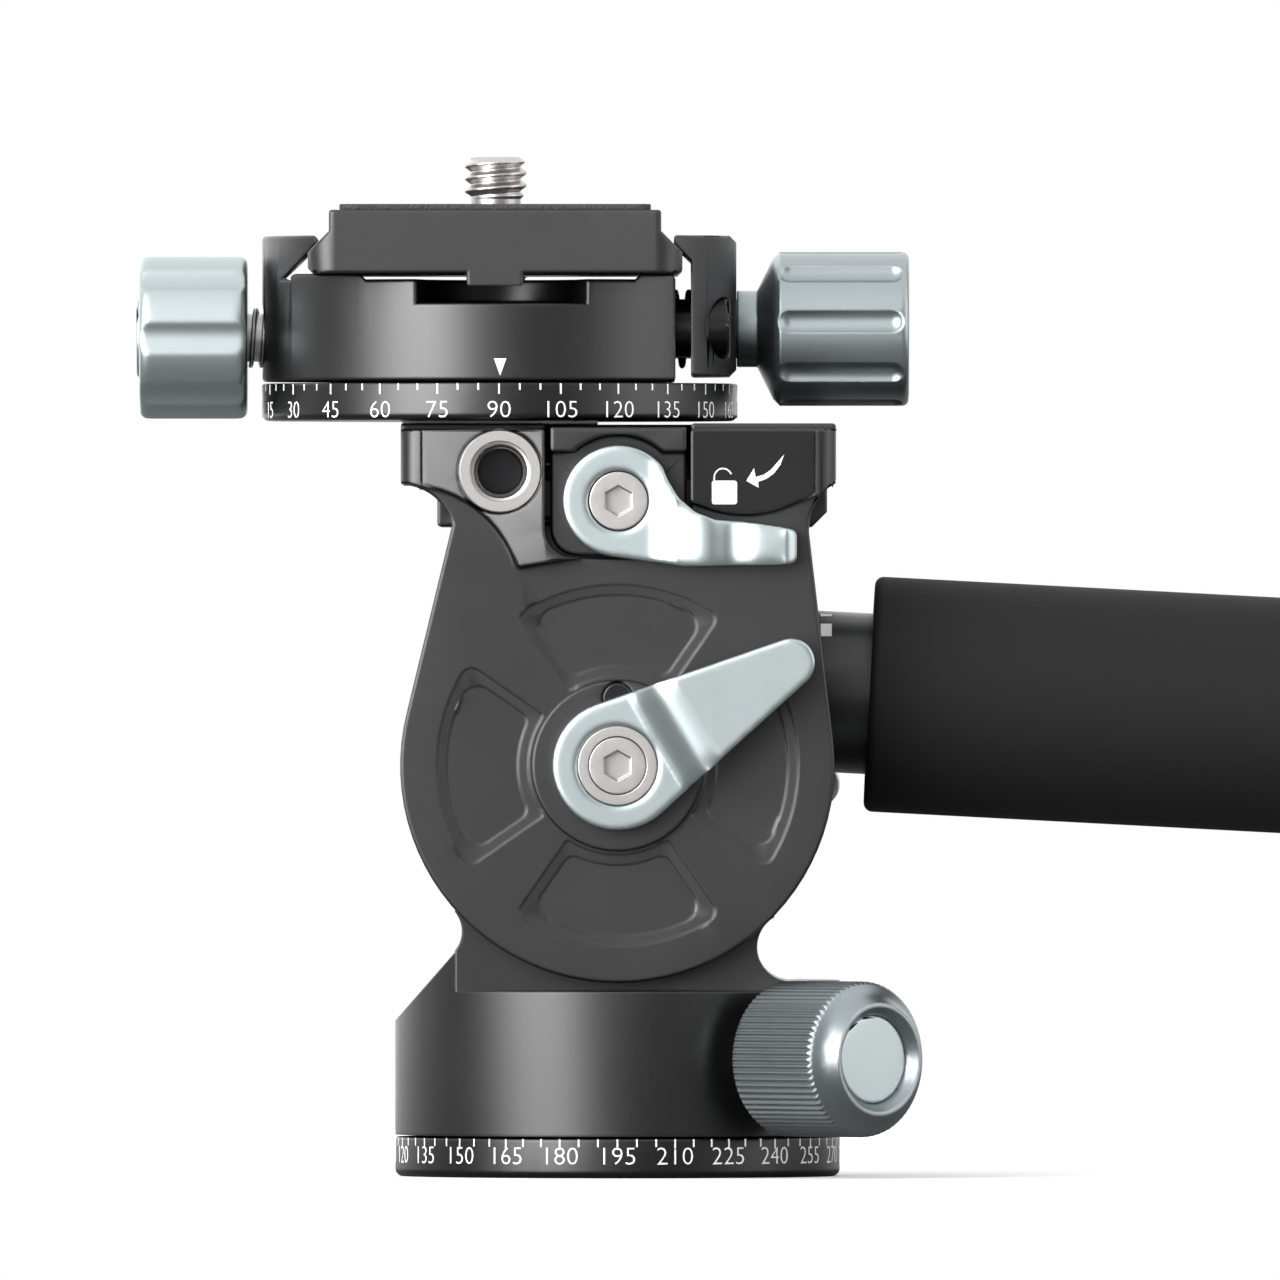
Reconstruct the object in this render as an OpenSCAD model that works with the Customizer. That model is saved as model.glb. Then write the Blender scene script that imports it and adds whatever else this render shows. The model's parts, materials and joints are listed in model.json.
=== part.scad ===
// Fluid video head: a turning base, a tilting head with two side cheeks, a sliding panorama clamp
// for quick-release plates and a pan handle. Z is up, the origin is where the base meets the tripod
// on the pan axis, +X runs along the handle and the scale side faces -Y.

/* [Base and pan] */
// Diameter of the base ring and of the turning body above it
base_d = 45.3; // [42:0.1:52]
// Height of the fixed base ring
base_ring_h = 4.0; // [3.6:0.1:4.6]
// Gap between a fixed scale ring and what turns above it
ring_gap = 0.2; // [0.1:0.05:0.4]
// Height of the turning body up to the ledge in front of the upright
body_h = 14.7; // [14:0.1:17]
// Width of the upright between the cheeks
upright_w = 31.2; // [27:0.1:36]

/* [Tilt] */
// Radius of the round lower end of the cheeks
cheek_r = 22.05; // [20:0.05:25]
// Thickness of each cheek
cheek_t = 5.6; // [4:0.1:7]
// Radius of the boss round the tilt axis on each cheek
boss_r = 8.7; // [8:0.1:9]
// Diameter of the tilt axle
axle_d = 8; // [7:0.1:8.6]

/* [Platform] */
// Rise of the platform top above the round of the cheeks
platform_rise = 12.7; // [11:0.1:15]
// Length of the platform along the slide
platform_l = 44.4; // [42:0.1:47]
// How far the clamp slides along the platform
slide_travel = 24; // [16:1:24]
// Length of the dovetail rail under the clamp
rail_l = 20; // [14:1:20]

/* [Panorama clamp] */
// Height of the scale ring under the clamp
clamp_ring_h = 3.8; // [3.4:0.1:4.4]
// Height of the clamp body up to its floor
clamp_body_h = 10.3; // [10:0.1:11.5]
// How far the moving jaw opens
jaw_travel = 3; // [2:0.5:3]

/* [Quick-release plate] */
// Width of the plate over its dovetail edges, which also sets the size of the clamp
plate_w = 38; // [34:0.1:44]
// Length of the plate
plate_l = 50; // [50:1:70]
// Diameter of the camera screw thread
camera_screw_d = 6.35; // [6:0.01:6.6]

/* [Handle] */
// Height of the handle axis above the tilt axis
handle_rise = 8.6; // [8:0.1:9]
// Downward slope of the handle in degrees
handle_slope = 3; // [0:0.5:5]
// Diameter of the handle tube and neck
neck_d = 16.4; // [15:0.1:17]
// Diameter of the grip
grip_d = 24; // [20:0.5:25]
// Length of the grip
grip_l = 100; // [80:1:140]

/* [Knobs and levers] */
// Diameter of the knurled pan lock knob
pan_knob_d = 15.8; // [14:0.1:17]
// Angle of the pan lock from straight ahead in degrees
pan_knob_angle = 42; // [30:1:50]
// Diameter of the lobed panorama lock knob
pano_knob_d = 16.9; // [15:0.1:18]
// Diameter of the fluted clamp knob
clamp_knob_d = 15.7; // [14:0.1:17]
// Reach of each tilt lever from its hub to the centre of its tip
tilt_lever_l = 20.4; // [16:0.1:21]
// Angle of the tilt lock lever above level in degrees
tilt_lever_angle = 30.7; // [0:1:40]
// Angle of the drag lever on the far side above level in degrees
drag_lever_angle = -5.5; // [-20:0.5:20]
// Reach of the slide lock lever from its hub to its tip
slide_lever_l = 18.1; // [14:0.1:19]

/* [Hidden] */
$fn = 96;

// Clearances: pressed or screwed together, turning or sliding, flat faces that slide
fit = 0.03;
run_fit = 0.06;
slide_fit = 0.1;
// One overrun for every cut
cut = 0.5;
// Number of steps in the rounded outlines
steps = 24;

// Base: the ring with its raised inner step, insert, spindle and screws
base_r = base_d / 2;
edge = 0.7;
base_step_w = 2.2;
base_step_h = 1.0;
base_step_r = base_r - base_step_w;
base_step_top = base_ring_h + base_step_h;
insert_share = 0.3090508;
insert_r = base_r * insert_share;
screw_sink = 0.25;
insert_rise = 4.0;
insert_top = base_step_top + insert_rise;
tripod_thread_r = 4.05;
spindle_foot_share = 0.5916115;
spindle_flange_share = 0.7682119;
spindle_share = 0.5298013;
spindle_foot_r = base_r * spindle_foot_share;
spindle_flange_r = base_r * spindle_flange_share;
spindle_r = base_r * spindle_share;
spindle_foot_h = 2.2;
spindle_flange_h = 1.6;
spindle_h = 6.2;
flange_bottom = base_step_top + spindle_foot_h;
flange_top = flange_bottom + spindle_flange_h;
spindle_top = flange_top + spindle_h;
spindle_bore_r = 5.0;
spindle_screw_share = 0.4591611;
spindle_screw_circle_r = base_r * spindle_screw_share;
spindle_screw_count = 3;
m3_r = 1.5;
m3_head_r = 2.75;
m3_head_h = 1.9;
spindle_screw_rise = 3.4;
spindle_screw_top = base_step_top + spindle_screw_rise;
m5_r = 2.45;

// Pan body: the turning shell round the spindle and the upright that carries the tilt axis
body_bottom = base_ring_h + ring_gap;
step_room = 0.3;
retainer_gap = 0.4;
retainer_h = 1.5;
retainer_w = 1.45;
retainer_bottom = base_step_top + retainer_gap;
retainer_top = retainer_bottom + retainer_h;
retainer_r = base_step_r - retainer_w;
retainer_lip = 1.3;
grease_gap = 0.35;
washer_t = 0.3;
cavity_roof = spindle_top + step_room;
ledge_h = body_bottom + body_h;
left_step_drop = 3.1;
right_step_rise = 1.05;
upright_rise = 3.94;
left_shelf_w = 6.15;
right_shelf_w = 4.95;
left_step_h = ledge_h - left_step_drop;
right_step_h = ledge_h + right_step_rise;
upright_left_x = base_r - left_shelf_w;
upright_left_z = ledge_h + upright_rise;
upright_right_x = base_r - right_shelf_w;
left_waist_r = 3.1;
left_waist_out = 2.4;
left_waist_up = 2.16;
left_waist_x = -upright_left_x - left_waist_out;
left_waist_z = upright_left_z + left_waist_up;
right_waist_r = 3.5;
right_waist_share = 0.985;
right_waist_foot_share = 0.87;
right_waist_z = right_step_h + right_waist_share * right_waist_r;
cheek_gap = 0.9;
tilt_h = ledge_h + cheek_gap + cheek_r;
drum_inset = 6.55;
drum_r = cheek_r - drum_inset;
drum_shares = [0.9, 0.75];
shoulder_inset = 0.15;
shoulder_from = 219;
shoulder_to = 314;
waist_top_drop = 14.2;

// Pan lock: shoe, screw and knob on one line through the wall of the pan body
pan_lock_rise = 7.1;
pan_lock_h = base_step_top + pan_lock_rise;
shoe_r = 2.6;
shoe_gap = 0.35;
shoe_l = 2.9;
pan_knob_gap = 2.85;
pan_knob_from = base_r + pan_knob_gap;
pan_knob_l = 14.25;
pan_knob_body_l = 11.6;
pan_knob_face_l = 13.0;
pan_knob_face_share = 0.88;
pan_knob_rim_share = 0.72;
pan_knob_cap_r = 4.46;
pan_knob_cap_t = 1.2;
pan_knob_cap_drop = 1.05;
knurl_count = 72;
knurl_depth = 0.32;
knurl_crest = 0.08;
lock_screw_in_knob = 7.5;

// Points of an arc round a centre, from one angle to another
function arc_points(centre, radius, from, to, count = steps) =
    [for (i = [0:count]) centre + radius * [cos(from + (to - from) * i / count),
                                            sin(from + (to - from) * i / count)]];

// Outline round two circles, the second one a distance away along X
function tangent_angle(r1, r2, distance) = acos((r1 - r2) / distance);
function link_points(r1, r2, distance) =
    let (a = tangent_angle(r1, r2, distance))
  concat(arc_points([0, 0], r1, a, 360 - a),
         arc_points([distance, 0], r2, -a, a));

// A front-view outline made solid from one depth to another
module along_y(from, to) {
  translate([0, to, 0])
    rotate([90, 0, 0])
      linear_extrude(to - from)
        children();
}

// A round bar along Y
module bar_y(radius, from, to) {
  translate([0, to, 0])
    rotate([90, 0, 0])
      cylinder(r = radius, h = to - from);
}

// A round bar along X
module bar_x(radius, from, to) {
  translate([from, 0, 0])
    rotate([0, 90, 0])
      cylinder(r = radius, h = to - from);
}

// A round bar along Z
module bar_z(radius, from, to) {
  translate([0, 0, from])
    cylinder(r = radius, h = to - from);
}

// A turned form whose height runs along X
module turned_x() {
  rotate([0, 90, 0])
    rotate_extrude()
      children();
}

// Moves to the tilt axis
module at_tilt() {
  translate([0, 0, tilt_h])
    children();
}

// Turns +X to the line of the pan lock
module at_pan_lock() {
  translate([0, 0, pan_lock_h])
    rotate([0, 0, pan_knob_angle - 90])
      children();
}

// Places for what stands evenly round the pan axis
module round_z(count, radius, start = 0) {
  for (i = [0:count - 1])
    rotate([0, 0, start + i * 360 / count])
      translate([radius, 0, 0])
        children();
}

// Base ring with its low inner step
module base_ring() {
  color("#4a4c4e")
    difference() {
      rotate_extrude()
        polygon(concat(
            [[insert_r + fit, 0]],
            arc_points([base_r - edge, edge], edge, -90, 0, 5),
            [[base_r, base_ring_h], [base_step_r, base_ring_h],
             [base_step_r, base_step_top], [insert_r + fit, base_step_top]]));
      round_z(spindle_screw_count, spindle_screw_circle_r, 90) {
        bar_z(m3_head_r, -cut, m3_head_h + screw_sink);
        bar_z(m3_r + run_fit, -cut, base_step_top + cut);
      }
    }
}

// Steel insert with the tripod thread
module tripod_insert() {
  color("#a9abad")
    difference() {
      bar_z(insert_r, 0, insert_top);
      bar_z(tripod_thread_r, -cut, insert_top + cut);
    }
}

// Spindle: foot, retaining flange and the drum that the pan brake presses on
module pan_spindle() {
  color("#b8babc")
    difference() {
      rotate_extrude()
        polygon([[insert_r + fit, base_step_top], [spindle_foot_r, base_step_top],
                 [spindle_foot_r, flange_bottom], [spindle_flange_r, flange_bottom],
                 [spindle_flange_r, flange_top], [spindle_r, flange_top],
                 [spindle_r, spindle_top], [spindle_bore_r, spindle_top],
                 [spindle_bore_r, insert_top], [insert_r + fit, insert_top]]);
      round_z(spindle_screw_count, spindle_screw_circle_r, 90)
        bar_z(m3_r + fit, base_step_top - cut, spindle_screw_top + step_room);
    }
}

// Screws that hold the spindle to the base ring
module spindle_screws() {
  color("#9a9c9e")
    round_z(spindle_screw_count, spindle_screw_circle_r, 90) {
      bar_z(m3_head_r - run_fit, screw_sink, m3_head_h + screw_sink);
      bar_z(m3_r, m3_head_h + screw_sink, spindle_screw_top);
    }
}

// Front view of the pan body and its upright, without the round top
module pan_body_outline() {
  difference() {
    polygon([[-base_r, body_bottom], [-base_r, left_step_h],
             [-upright_left_x, upright_left_z], [-upright_left_x, tilt_h - waist_top_drop],
             [-drum_r * drum_shares[0], tilt_h - drum_r * drum_shares[1]],
             [drum_r * drum_shares[0], tilt_h - drum_r * drum_shares[1]],
             [upright_right_x - right_waist_r / 2, right_waist_z + right_waist_foot_share * right_waist_r],
             [upright_right_x, right_waist_z], [upright_right_x, right_step_h],
             [base_r, right_step_h], [base_r, body_bottom]]);
    translate([left_waist_x, left_waist_z])
      circle(r = left_waist_r);
    translate([upright_right_x, right_waist_z])
      circle(r = right_waist_r);
  }
}

// Shoulders close under the cheeks' round ends
module shoulder_outline() {
  translate([0, tilt_h])
    polygon(concat([[0, 0]],
                   arc_points([0, 0], cheek_r - shoulder_inset, shoulder_from, shoulder_to)));
}

// Tilt drive: damper cavity in the upright, bushes, axle and discs
bush_r = 5.2;
damper_wall = 2.9;
damper_r = drum_r - damper_wall;
damper_front_wall = 3.0;
lid_edge = 1.6;
lid_r = drum_r - lid_edge;
lid_t = 2.8;
rotor_hub_r = 6.0;
disc_t = 1.6;
rotor_count = 5;
axle_r = axle_d / 2;
upright_y = upright_w / 2;
cavity_front_y = -upright_y + damper_front_wall;
cavity_rear_y = upright_y - lid_t;
disc_pitch = 2 * (disc_t + grease_gap);
m5_pitch = 0.8;

// Pan body with its upright, the bearing bores and the damper cavity
module pan_body() {
  shoe_end = spindle_r + shoe_gap + shoe_l;
  color("#55575a")
    difference() {
      union() {
        intersection() {
          along_y(-base_r - cut, base_r + cut)
            pan_body_outline();
          bar_z(base_r, body_bottom, ledge_h);
        }
        intersection() {
          along_y(-upright_y, upright_y) {
            pan_body_outline();
            shoulder_outline();
          }
          bar_z(base_r, body_bottom, tilt_h);
        }
        at_tilt()
          bar_y(drum_r, -upright_y, upright_y);
      }
      bar_z(base_step_r + step_room, body_bottom - cut, retainer_bottom);
      bar_z(retainer_r + fit, retainer_bottom - cut, retainer_top);
      bar_z(spindle_flange_r + grease_gap, retainer_top - cut, flange_top + washer_t);
      bar_z(spindle_r + grease_gap, flange_top, cavity_roof);
      at_tilt() {
        bar_y(damper_r, cavity_front_y, upright_y + cut);
        bar_y(lid_r, cavity_rear_y, upright_y + cut);
        bar_y(bush_r + fit, -upright_y - cut, cavity_front_y + cut);
      }
      at_pan_lock() {
        bar_x(shoe_r + run_fit, 0, shoe_end + m5_pitch + step_room);
        bar_x(m5_r + run_fit, shoe_end, base_r + cut);
      }
    }
}

// Threaded ring that keeps the pan body on the spindle
module pan_retainer_ring() {
  inner_r = spindle_foot_r + grease_gap;
  color("#8d9092")
    difference() {
      bar_z(retainer_r, retainer_bottom, retainer_top);
      bar_z(inner_r, retainer_bottom - cut, retainer_top + cut);
      round_z(2, (inner_r + retainer_r) / 2)
        bar_z(retainer_lip / 2, retainer_bottom - cut, retainer_top + cut);
    }
}

// Thin slippery washers below and above the spindle flange
module pan_thrust_washers() {
  color("#e6e3da") {
    difference() {
      bar_z(spindle_flange_r, retainer_top, flange_bottom);
      bar_z(spindle_foot_r + grease_gap, retainer_top - cut, flange_bottom + cut);
    }
    difference() {
      bar_z(spindle_flange_r, flange_top, flange_top + washer_t);
      bar_z(spindle_r + grease_gap, flange_top - cut, flange_top + washer_t + cut);
    }
  }
}

// Flanged brass bushes that the tilt axle turns in
module tilt_bushes() {
  color("#b59a5b")
    at_tilt()
      for (ends = [[-upright_y, cavity_front_y], [cavity_rear_y, upright_y]])
        difference() {
          bar_y(bush_r, ends[0], ends[1]);
          bar_y(axle_r + run_fit, ends[0] - cut, ends[1] + cut);
        }
}

// Lid that closes the grease cavity on the far side
module damper_lid() {
  color("#77797b")
    at_tilt()
      difference() {
        bar_y(lid_r - fit, cavity_rear_y, upright_y);
        bar_y(bush_r + fit, cavity_rear_y - cut, upright_y + cut);
      }
}

// Fixed rings of the grease damper, between the turning discs
module damper_stators() {
  color("#8f9294")
    at_tilt()
      for (i = [0:rotor_count - 2])
        translate([0, (i - (rotor_count - 2) / 2) * disc_pitch, 0])
          difference() {
            bar_y(damper_r - fit, -disc_t / 2, disc_t / 2);
            bar_y(rotor_hub_r + grease_gap, -disc_t, disc_t);
          }
}

// Discs of the grease damper on their hub, keyed to the axle
module damper_rotor() {
  color("#c9cbcc")
    at_tilt()
      difference() {
        union() {
          bar_y(rotor_hub_r, cavity_front_y + grease_gap, cavity_rear_y - grease_gap);
          for (i = [0:rotor_count - 1])
            translate([0, (i - (rotor_count - 1) / 2) * disc_pitch, 0])
              bar_y(damper_r - grease_gap, -disc_t / 2, disc_t / 2);
        }
        bar_y(axle_r + fit, cavity_front_y - cut, cavity_rear_y + cut);
      }
}

// Brake shoe that the pan lock presses on the spindle
module pan_brake_shoe() {
  from = spindle_r + shoe_gap;
  color("#b08d4c")
    at_pan_lock()
      bar_x(shoe_r, from, from + shoe_l);
}

// Screw of the pan lock
module pan_lock_screw() {
  color("#a2a4a6")
    at_pan_lock()
      bar_x(m5_r, spindle_r + shoe_gap + shoe_l, pan_knob_from + lock_screw_in_knob);
}

// Outline of a straight knurl: teeth round a circle
module knurl_outline(radius, count, depth) {
  polygon([for (i = [0:2 * count - 1])
      let (a = i * 180 / count, r = i % 2 == 0 ? radius : radius - depth)
      [r * cos(a), r * sin(a)]]);
}

// Knurled pan lock knob with a turned rim round its cap
module pan_knob() {
  radius = pan_knob_d / 2;
  from = pan_knob_from;
  face = from + pan_knob_face_l;
  end = from + pan_knob_l;
  color("#5b6062")
    at_pan_lock()
      difference() {
        intersection() {
          turned_x()
            polygon(concat(
                [[0, from], [radius - edge, from], [radius, from + edge]],
                arc_points([radius * pan_knob_face_share, from + pan_knob_body_l],
                           radius * (1 - pan_knob_face_share), 0, 70, 4),
                [[radius * pan_knob_face_share - edge / 2, face],
                 [radius * pan_knob_rim_share, end],
                 [radius * pan_knob_rim_share - edge / 2, end],
                 [pan_knob_cap_r + fit, end - pan_knob_cap_drop],
                 [0, end - pan_knob_cap_drop]]));
          translate([from - cut, 0, 0])
            rotate([0, 90, 0])
              linear_extrude(pan_knob_l + 2 * cut)
                knurl_outline(radius + knurl_crest, knurl_count,
                              knurl_depth + knurl_crest);
        }
        bar_x(pan_knob_cap_r + fit, end - pan_knob_cap_drop - pan_knob_cap_t, end + cut);
        bar_x(m5_r + fit, from - cut, from + lock_screw_in_knob + fit);
      }
}

// Smooth cap in the end of the pan lock knob
module pan_knob_cap() {
  top = pan_knob_from + pan_knob_l - pan_knob_cap_drop;
  color("#c3cbcd")
    at_pan_lock()
      bar_x(pan_knob_cap_r, top - pan_knob_cap_t, top);
}

// Cheeks: the teardrop plates either side of the upright
cheek_in = upright_y + washer_t;
cheek_out = cheek_in + cheek_t;
cheek_left_angle = 165.6;
cheek_right_angle = 6.7;
platform_h = tilt_h + cheek_r + platform_rise;
platform_inset = 0.2;
platform_left = -platform_l / 2 + platform_inset;
platform_right = platform_l / 2;
neck_left_w = 5.5;
neck_right_w = 2.75;
neck_right_drop = 11.1;
neck_left_x = -platform_left - neck_left_w;
neck_right_x = platform_right - neck_right_w;
neck_right_z = platform_h - neck_right_drop;
flare_left_r = 5.9;
flare_left_drop = 12.0;
flare_left_z = platform_h - flare_left_drop;
flare_right_r = 5.3;
flare_right_drop = 10.7;
flare_right_z = platform_h - flare_right_drop;
pad_drop = 0.6;
pad_top = platform_h - pad_drop;
pocket_angle = 69.4;
pocket_margin = 3.65;
pocket_gap = 0.3;
pocket_outer_r = cheek_r - pocket_margin;
pocket_inner_r = boss_r + pocket_gap;
// Loops down a pocket wall: depth, inset, radius of the outer and of the inner corners
pocket_loops = [[0, 0, 1.2, 0.4], [0.14, 0.1, 1.2, 0.4], [0.18, 1.05, 1.8, 1.2],
                [0.32, 1.15, 1.8, 1.2]];
window_gap = 0.2;
window_left = -7.35;
window_right = 7.45;
window_drop = 13.65;
window_bottom = platform_h - window_drop;
window_corner_r = 2.9;

// Front view of a cheek with its flared top
module cheek_outline() {
  flare_left = [platform_left, flare_left_z + flare_left_r];
  flare_right = [platform_right, flare_right_z + flare_right_r];
  polygon(concat(
      arc_points([0, tilt_h], cheek_r, cheek_left_angle, 360 + cheek_right_angle, 2 * steps),
      [[neck_right_x, neck_right_z]],
      arc_points([neck_right_x + flare_right_r, flare_right_z], flare_right_r, 175, 120, 8),
      [flare_right, [platform_right, pad_top], [platform_left, pad_top], flare_left],
      arc_points([-neck_left_x - flare_left_r, flare_left_z], flare_left_r, 80, 17, 8)));
}

// Corner of a pocket and its mirror image, as arcs round a centre at an angle
function pocket_corner(distance, turn, radius, from, to) =
    arc_points(distance * [cos(turn), sin(turn)], radius, from, to, 6);

// Outline of a pocket along +X, set in from its edge, with rounded corners
function pocket_points(inset, outer_corner, inner_corner) =
    let (a = pocket_angle / 2,
         outer = pocket_outer_r - inset - outer_corner,
         inner = pocket_inner_r + inset + inner_corner,
         b = a - asin((inset + outer_corner) / outer),
         c = a - asin((inset + inner_corner) / inner))
  concat(arc_points([0, 0], outer + outer_corner, -b * (1 - 1 / steps), b * (1 - 1 / steps)),
         pocket_corner(outer, b, outer_corner, b, a + 90),
         pocket_corner(inner, c, inner_corner, a + 90, c + 180),
         arc_points([0, 0], inner - inner_corner, c * (1 - 1 / steps), -c * (1 - 1 / steps)),
         pocket_corner(inner, -c, inner_corner, 180 - c, 270 - a),
         pocket_corner(outer, -b, outer_corner, 270 - a, 360 - b));

// One pocket as a solid to cut, up past the cheek's face
module pocket() {
  loops = concat([[-cut, 0, pocket_loops[0][2], pocket_loops[0][3]]], pocket_loops);
  outlines = [for (l = loops) pocket_points(l[1], l[2], l[3])];
  count = len(outlines[0]);
  last = len(loops) - 1;
  points = [for (k = [0:last]) for (p = outlines[k]) [p[0], p[1], cheek_out - loops[k][0]]];
  walls = [for (k = [0:last - 1], i = [0:count - 1])
      let (j = (i + 1) % count, up = k * count, down = up + count)
      each [[up + i, up + j, down + j], [up + i, down + j, down + i]]];
  polyhedron(points, concat([[for (i = [count - 1:-1:0]) i],
                             [for (i = [0:count - 1]) last * count + i]], walls),
             convexity = 4);
}

// Rectangle whose lower left corner is round
module notch_outline(left, right, bottom, top, corner_r) {
  polygon(concat(arc_points([left + corner_r, bottom + corner_r], corner_r, 180, 270, 8),
                 [[right, bottom], [right, top], [left, top]]));
}

// Four shallow pockets round the hub, each with a low step round its floor
module cheek_pockets() {
  for (i = [0:3])
    rotate([90, 0, 0])
      rotate([0, 0, i * 90])
        pocket();
}

// Platform: pads on the cheeks, bridge with the dovetail channel, and the bolts through them
pad_mid_t = 2.7;
pad_end_inset = 0.4;
pad_mid_y = cheek_out + pad_mid_t;
pad_end_y = cheek_out - pad_end_inset;
pad_mid_x = 7.3;
pad_corner_r = 2.0;
left_pad_r = 12.1;
left_pad_in = 0.3;
left_pad_drop = 18.3;
left_pad_x = platform_left + left_pad_in;
left_pad_z = platform_h - left_pad_drop;
left_tip_out = 2.49;
left_tip_drop = 14.7;
left_pad_tip = [window_left - left_tip_out, platform_h - left_tip_drop];
right_pad_r = 11.2;
right_pad_x = 13.0;
right_pad_rise = 1.9;
right_pad_z = platform_h + right_pad_rise;
right_tip_in = 1.25;
right_tip_drop = 6.9;
right_pad_end = [platform_right - right_tip_in, platform_h - right_tip_drop];
right_edge_drop = 5.8;
right_pad_edge_z = platform_h - right_edge_drop;
port_x = -11.9;
port_drop = 4.9;
port_z = platform_h - port_drop;
port_flange_r = 4.2;
port_body_r = 3.6;
port_thread_r = 2.55;
port_rise = 2.0;
port_front_y = cheek_out + port_rise;
port_flange_t = 1.2;
port_l = 6.0;
bolt_r = 1.25;
bolt_head_r = 2.25;
bolt_head_l = 1.9;
bolt_left_in = 2.3;
bolt_right_in = 3.1;
bolt_left_drop = 8.0;
bolt_right_drop = 7.2;
bracket_bolt_angles = [1, 47];
bolt_depth = 3.7;
bridge_left_in = 3.7;
bridge_right_in = 0.9;
bridge_drop = 10.5;
bridge_left = platform_left + bridge_left_in;
bridge_right = platform_right - bridge_right_in;
bridge_bottom = platform_h - bridge_drop;
bolt_left_x = bridge_left + bolt_left_in;
bolt_left_z = platform_h - bolt_left_drop;
bolt_right_x = bridge_right - bolt_right_in;
bolt_right_z = platform_h - bolt_right_drop;
bridge_bevel = 1.5;
rail_inset = 3.0;
rail_slant = 2.5;
rail_base_y = cheek_in - rail_inset;
rail_top_y = rail_base_y - rail_slant;
slide_gap = 0.3;
channel_depth = 4.3;
channel_floor = platform_h - channel_depth;
ring_bottom = platform_h + slide_gap;
function dovetail_y(z) =
    rail_top_y + (rail_base_y - rail_top_y) * (platform_h - z) / (platform_h - channel_floor);
jaw_left = -6.8;
jaw_right = 7.0;
jaw_drop = 0.4;
jaw_corner_r = 2.6;
hook_drop = 5.65;
lip_drop = 2.95;
jaw_bottom = window_bottom + window_gap;
jaw_top = platform_h - jaw_drop;
hook_bottom = platform_h - hook_drop;
lip_bottom = platform_h - lip_drop;
slide_lever_x = 0.1;
slide_lever_down = 7.9;
slide_lever_z = platform_h - slide_lever_down;
lip_arc_r = 6.7;
m4_r = 2.0;
lock_screw_in = 2.4;
lock_screw_end_y = rail_top_y - lock_screw_in;
stop_pin_r = 1.2;
stop_pin_in = 1.7;
stop_pin_l = 1.6;
stop_slot_depth = 1.8;
stop_pin_y = cheek_in - stop_pin_in;
stop_pin_bottom = platform_h - stop_pin_l;
stop_pin_top = ring_bottom + stop_pin_l;
stop_slot_bottom = platform_h - stop_slot_depth;
pano_x = -slide_travel / 2;

// Bracket between the cheeks: a curved wall behind the upright, bolted on the middle of its wall
bracket_gap = 0.6;
bracket_inset = 1.65;
bracket_from = -7;
bracket_to = 54;
bracket_in_r = drum_r + bracket_gap;
bracket_out_r = cheek_r - bracket_inset;
bracket_bolt_r = (bracket_in_r + bracket_out_r) / 2;

bolt_places = concat(
    [[bolt_left_x, bolt_left_z], [bolt_right_x, bolt_right_z]],
    [for (a = bracket_bolt_angles)
        [bracket_bolt_r * cos(a), tilt_h + bracket_bolt_r * sin(a)]]);

// Pad left of the middle, seen from the front, out to an inner edge
module left_pad_outline(inner_x) {
  polygon(concat(
      [[inner_x, pad_top], [platform_left, pad_top], [platform_left, left_pad_z + left_pad_r]],
      arc_points([left_pad_x, left_pad_z], left_pad_r, 85, 19, 10),
      [left_pad_tip, [inner_x, window_bottom]]));
}

// Pad right of the middle, cut away over the slide lock lever
module right_pad_outline(inner_x) {
  polygon(concat(
      [[inner_x, pad_top], [inner_x, right_pad_end[1]]],
      arc_points([right_pad_x, right_pad_z], right_pad_r, -114, -66, 8),
      [right_pad_end, [platform_right, right_pad_edge_z], [platform_right, pad_top]]));
}

// Pads made solid: thickest at the middle and thinner towards each end
module pads() {
  intersection() {
    along_y(-pad_mid_y - cut, -cheek_in)
      children();
    linear_extrude(platform_h)
      polygon([[platform_left, 0], [platform_left, -pad_end_y], [-pad_mid_x, -pad_mid_y],
               [pad_mid_x, -pad_mid_y], [platform_right, -pad_end_y], [platform_right, 0]]);
  }
}

// What is cut from the outer upright corners of the platform
module corner_cut(x, side) {
  translate([x, -cheek_out, bridge_bottom])
    difference() {
      translate([side > 0 ? -pad_corner_r : -cut, -cut, 0])
        cube([pad_corner_r + cut, pad_corner_r + cut, platform_h - bridge_bottom]);
      translate([-side * pad_corner_r, pad_corner_r, -cut])
        cylinder(r = pad_corner_r, h = platform_h - bridge_bottom + 2 * cut);
    }
}

// A cheek on the front side with its pads, given as children
module cheek() {
  difference() {
    union() {
      along_y(-cheek_out, -cheek_in)
        cheek_outline();
      pads()
        children();
    }
    at_tilt() {
      cheek_pockets();
      bar_y(axle_r + fit, -cheek_out - cut, -cheek_in + cut);
      translate([0, 0, flange_screw_up])
        bar_y(flange_screw_r + fit, -cheek_out - cut, flange_screw_l - cheek_out);
    }
    corner_cut(platform_left, -1);
    corner_cut(platform_right, 1);
  }
}

// Front cheek with the window for the slide jaw and the accessory port
module front_cheek() {
  color("#47494b")
    difference() {
      cheek() {
        left_pad_outline(-pad_mid_x / 2);
        right_pad_outline(pad_mid_x / 2);
      }
      along_y(-pad_mid_y - cut, -cheek_in + cut)
        notch_outline(window_left, window_right, window_bottom, platform_h, window_corner_r);
      translate([port_x, 0, port_z]) {
        bar_y(port_body_r + fit, -pad_mid_y - cut, port_l - port_front_y);
        bar_y(port_flange_r + fit, -pad_mid_y - cut, port_flange_t - port_front_y);
      }
      for (place = bolt_places)
        translate([place[0], 0, place[1]])
          bar_y(bolt_r + fit, -cheek_in - bolt_depth - fit, -cheek_in + cut);
    }
}

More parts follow.
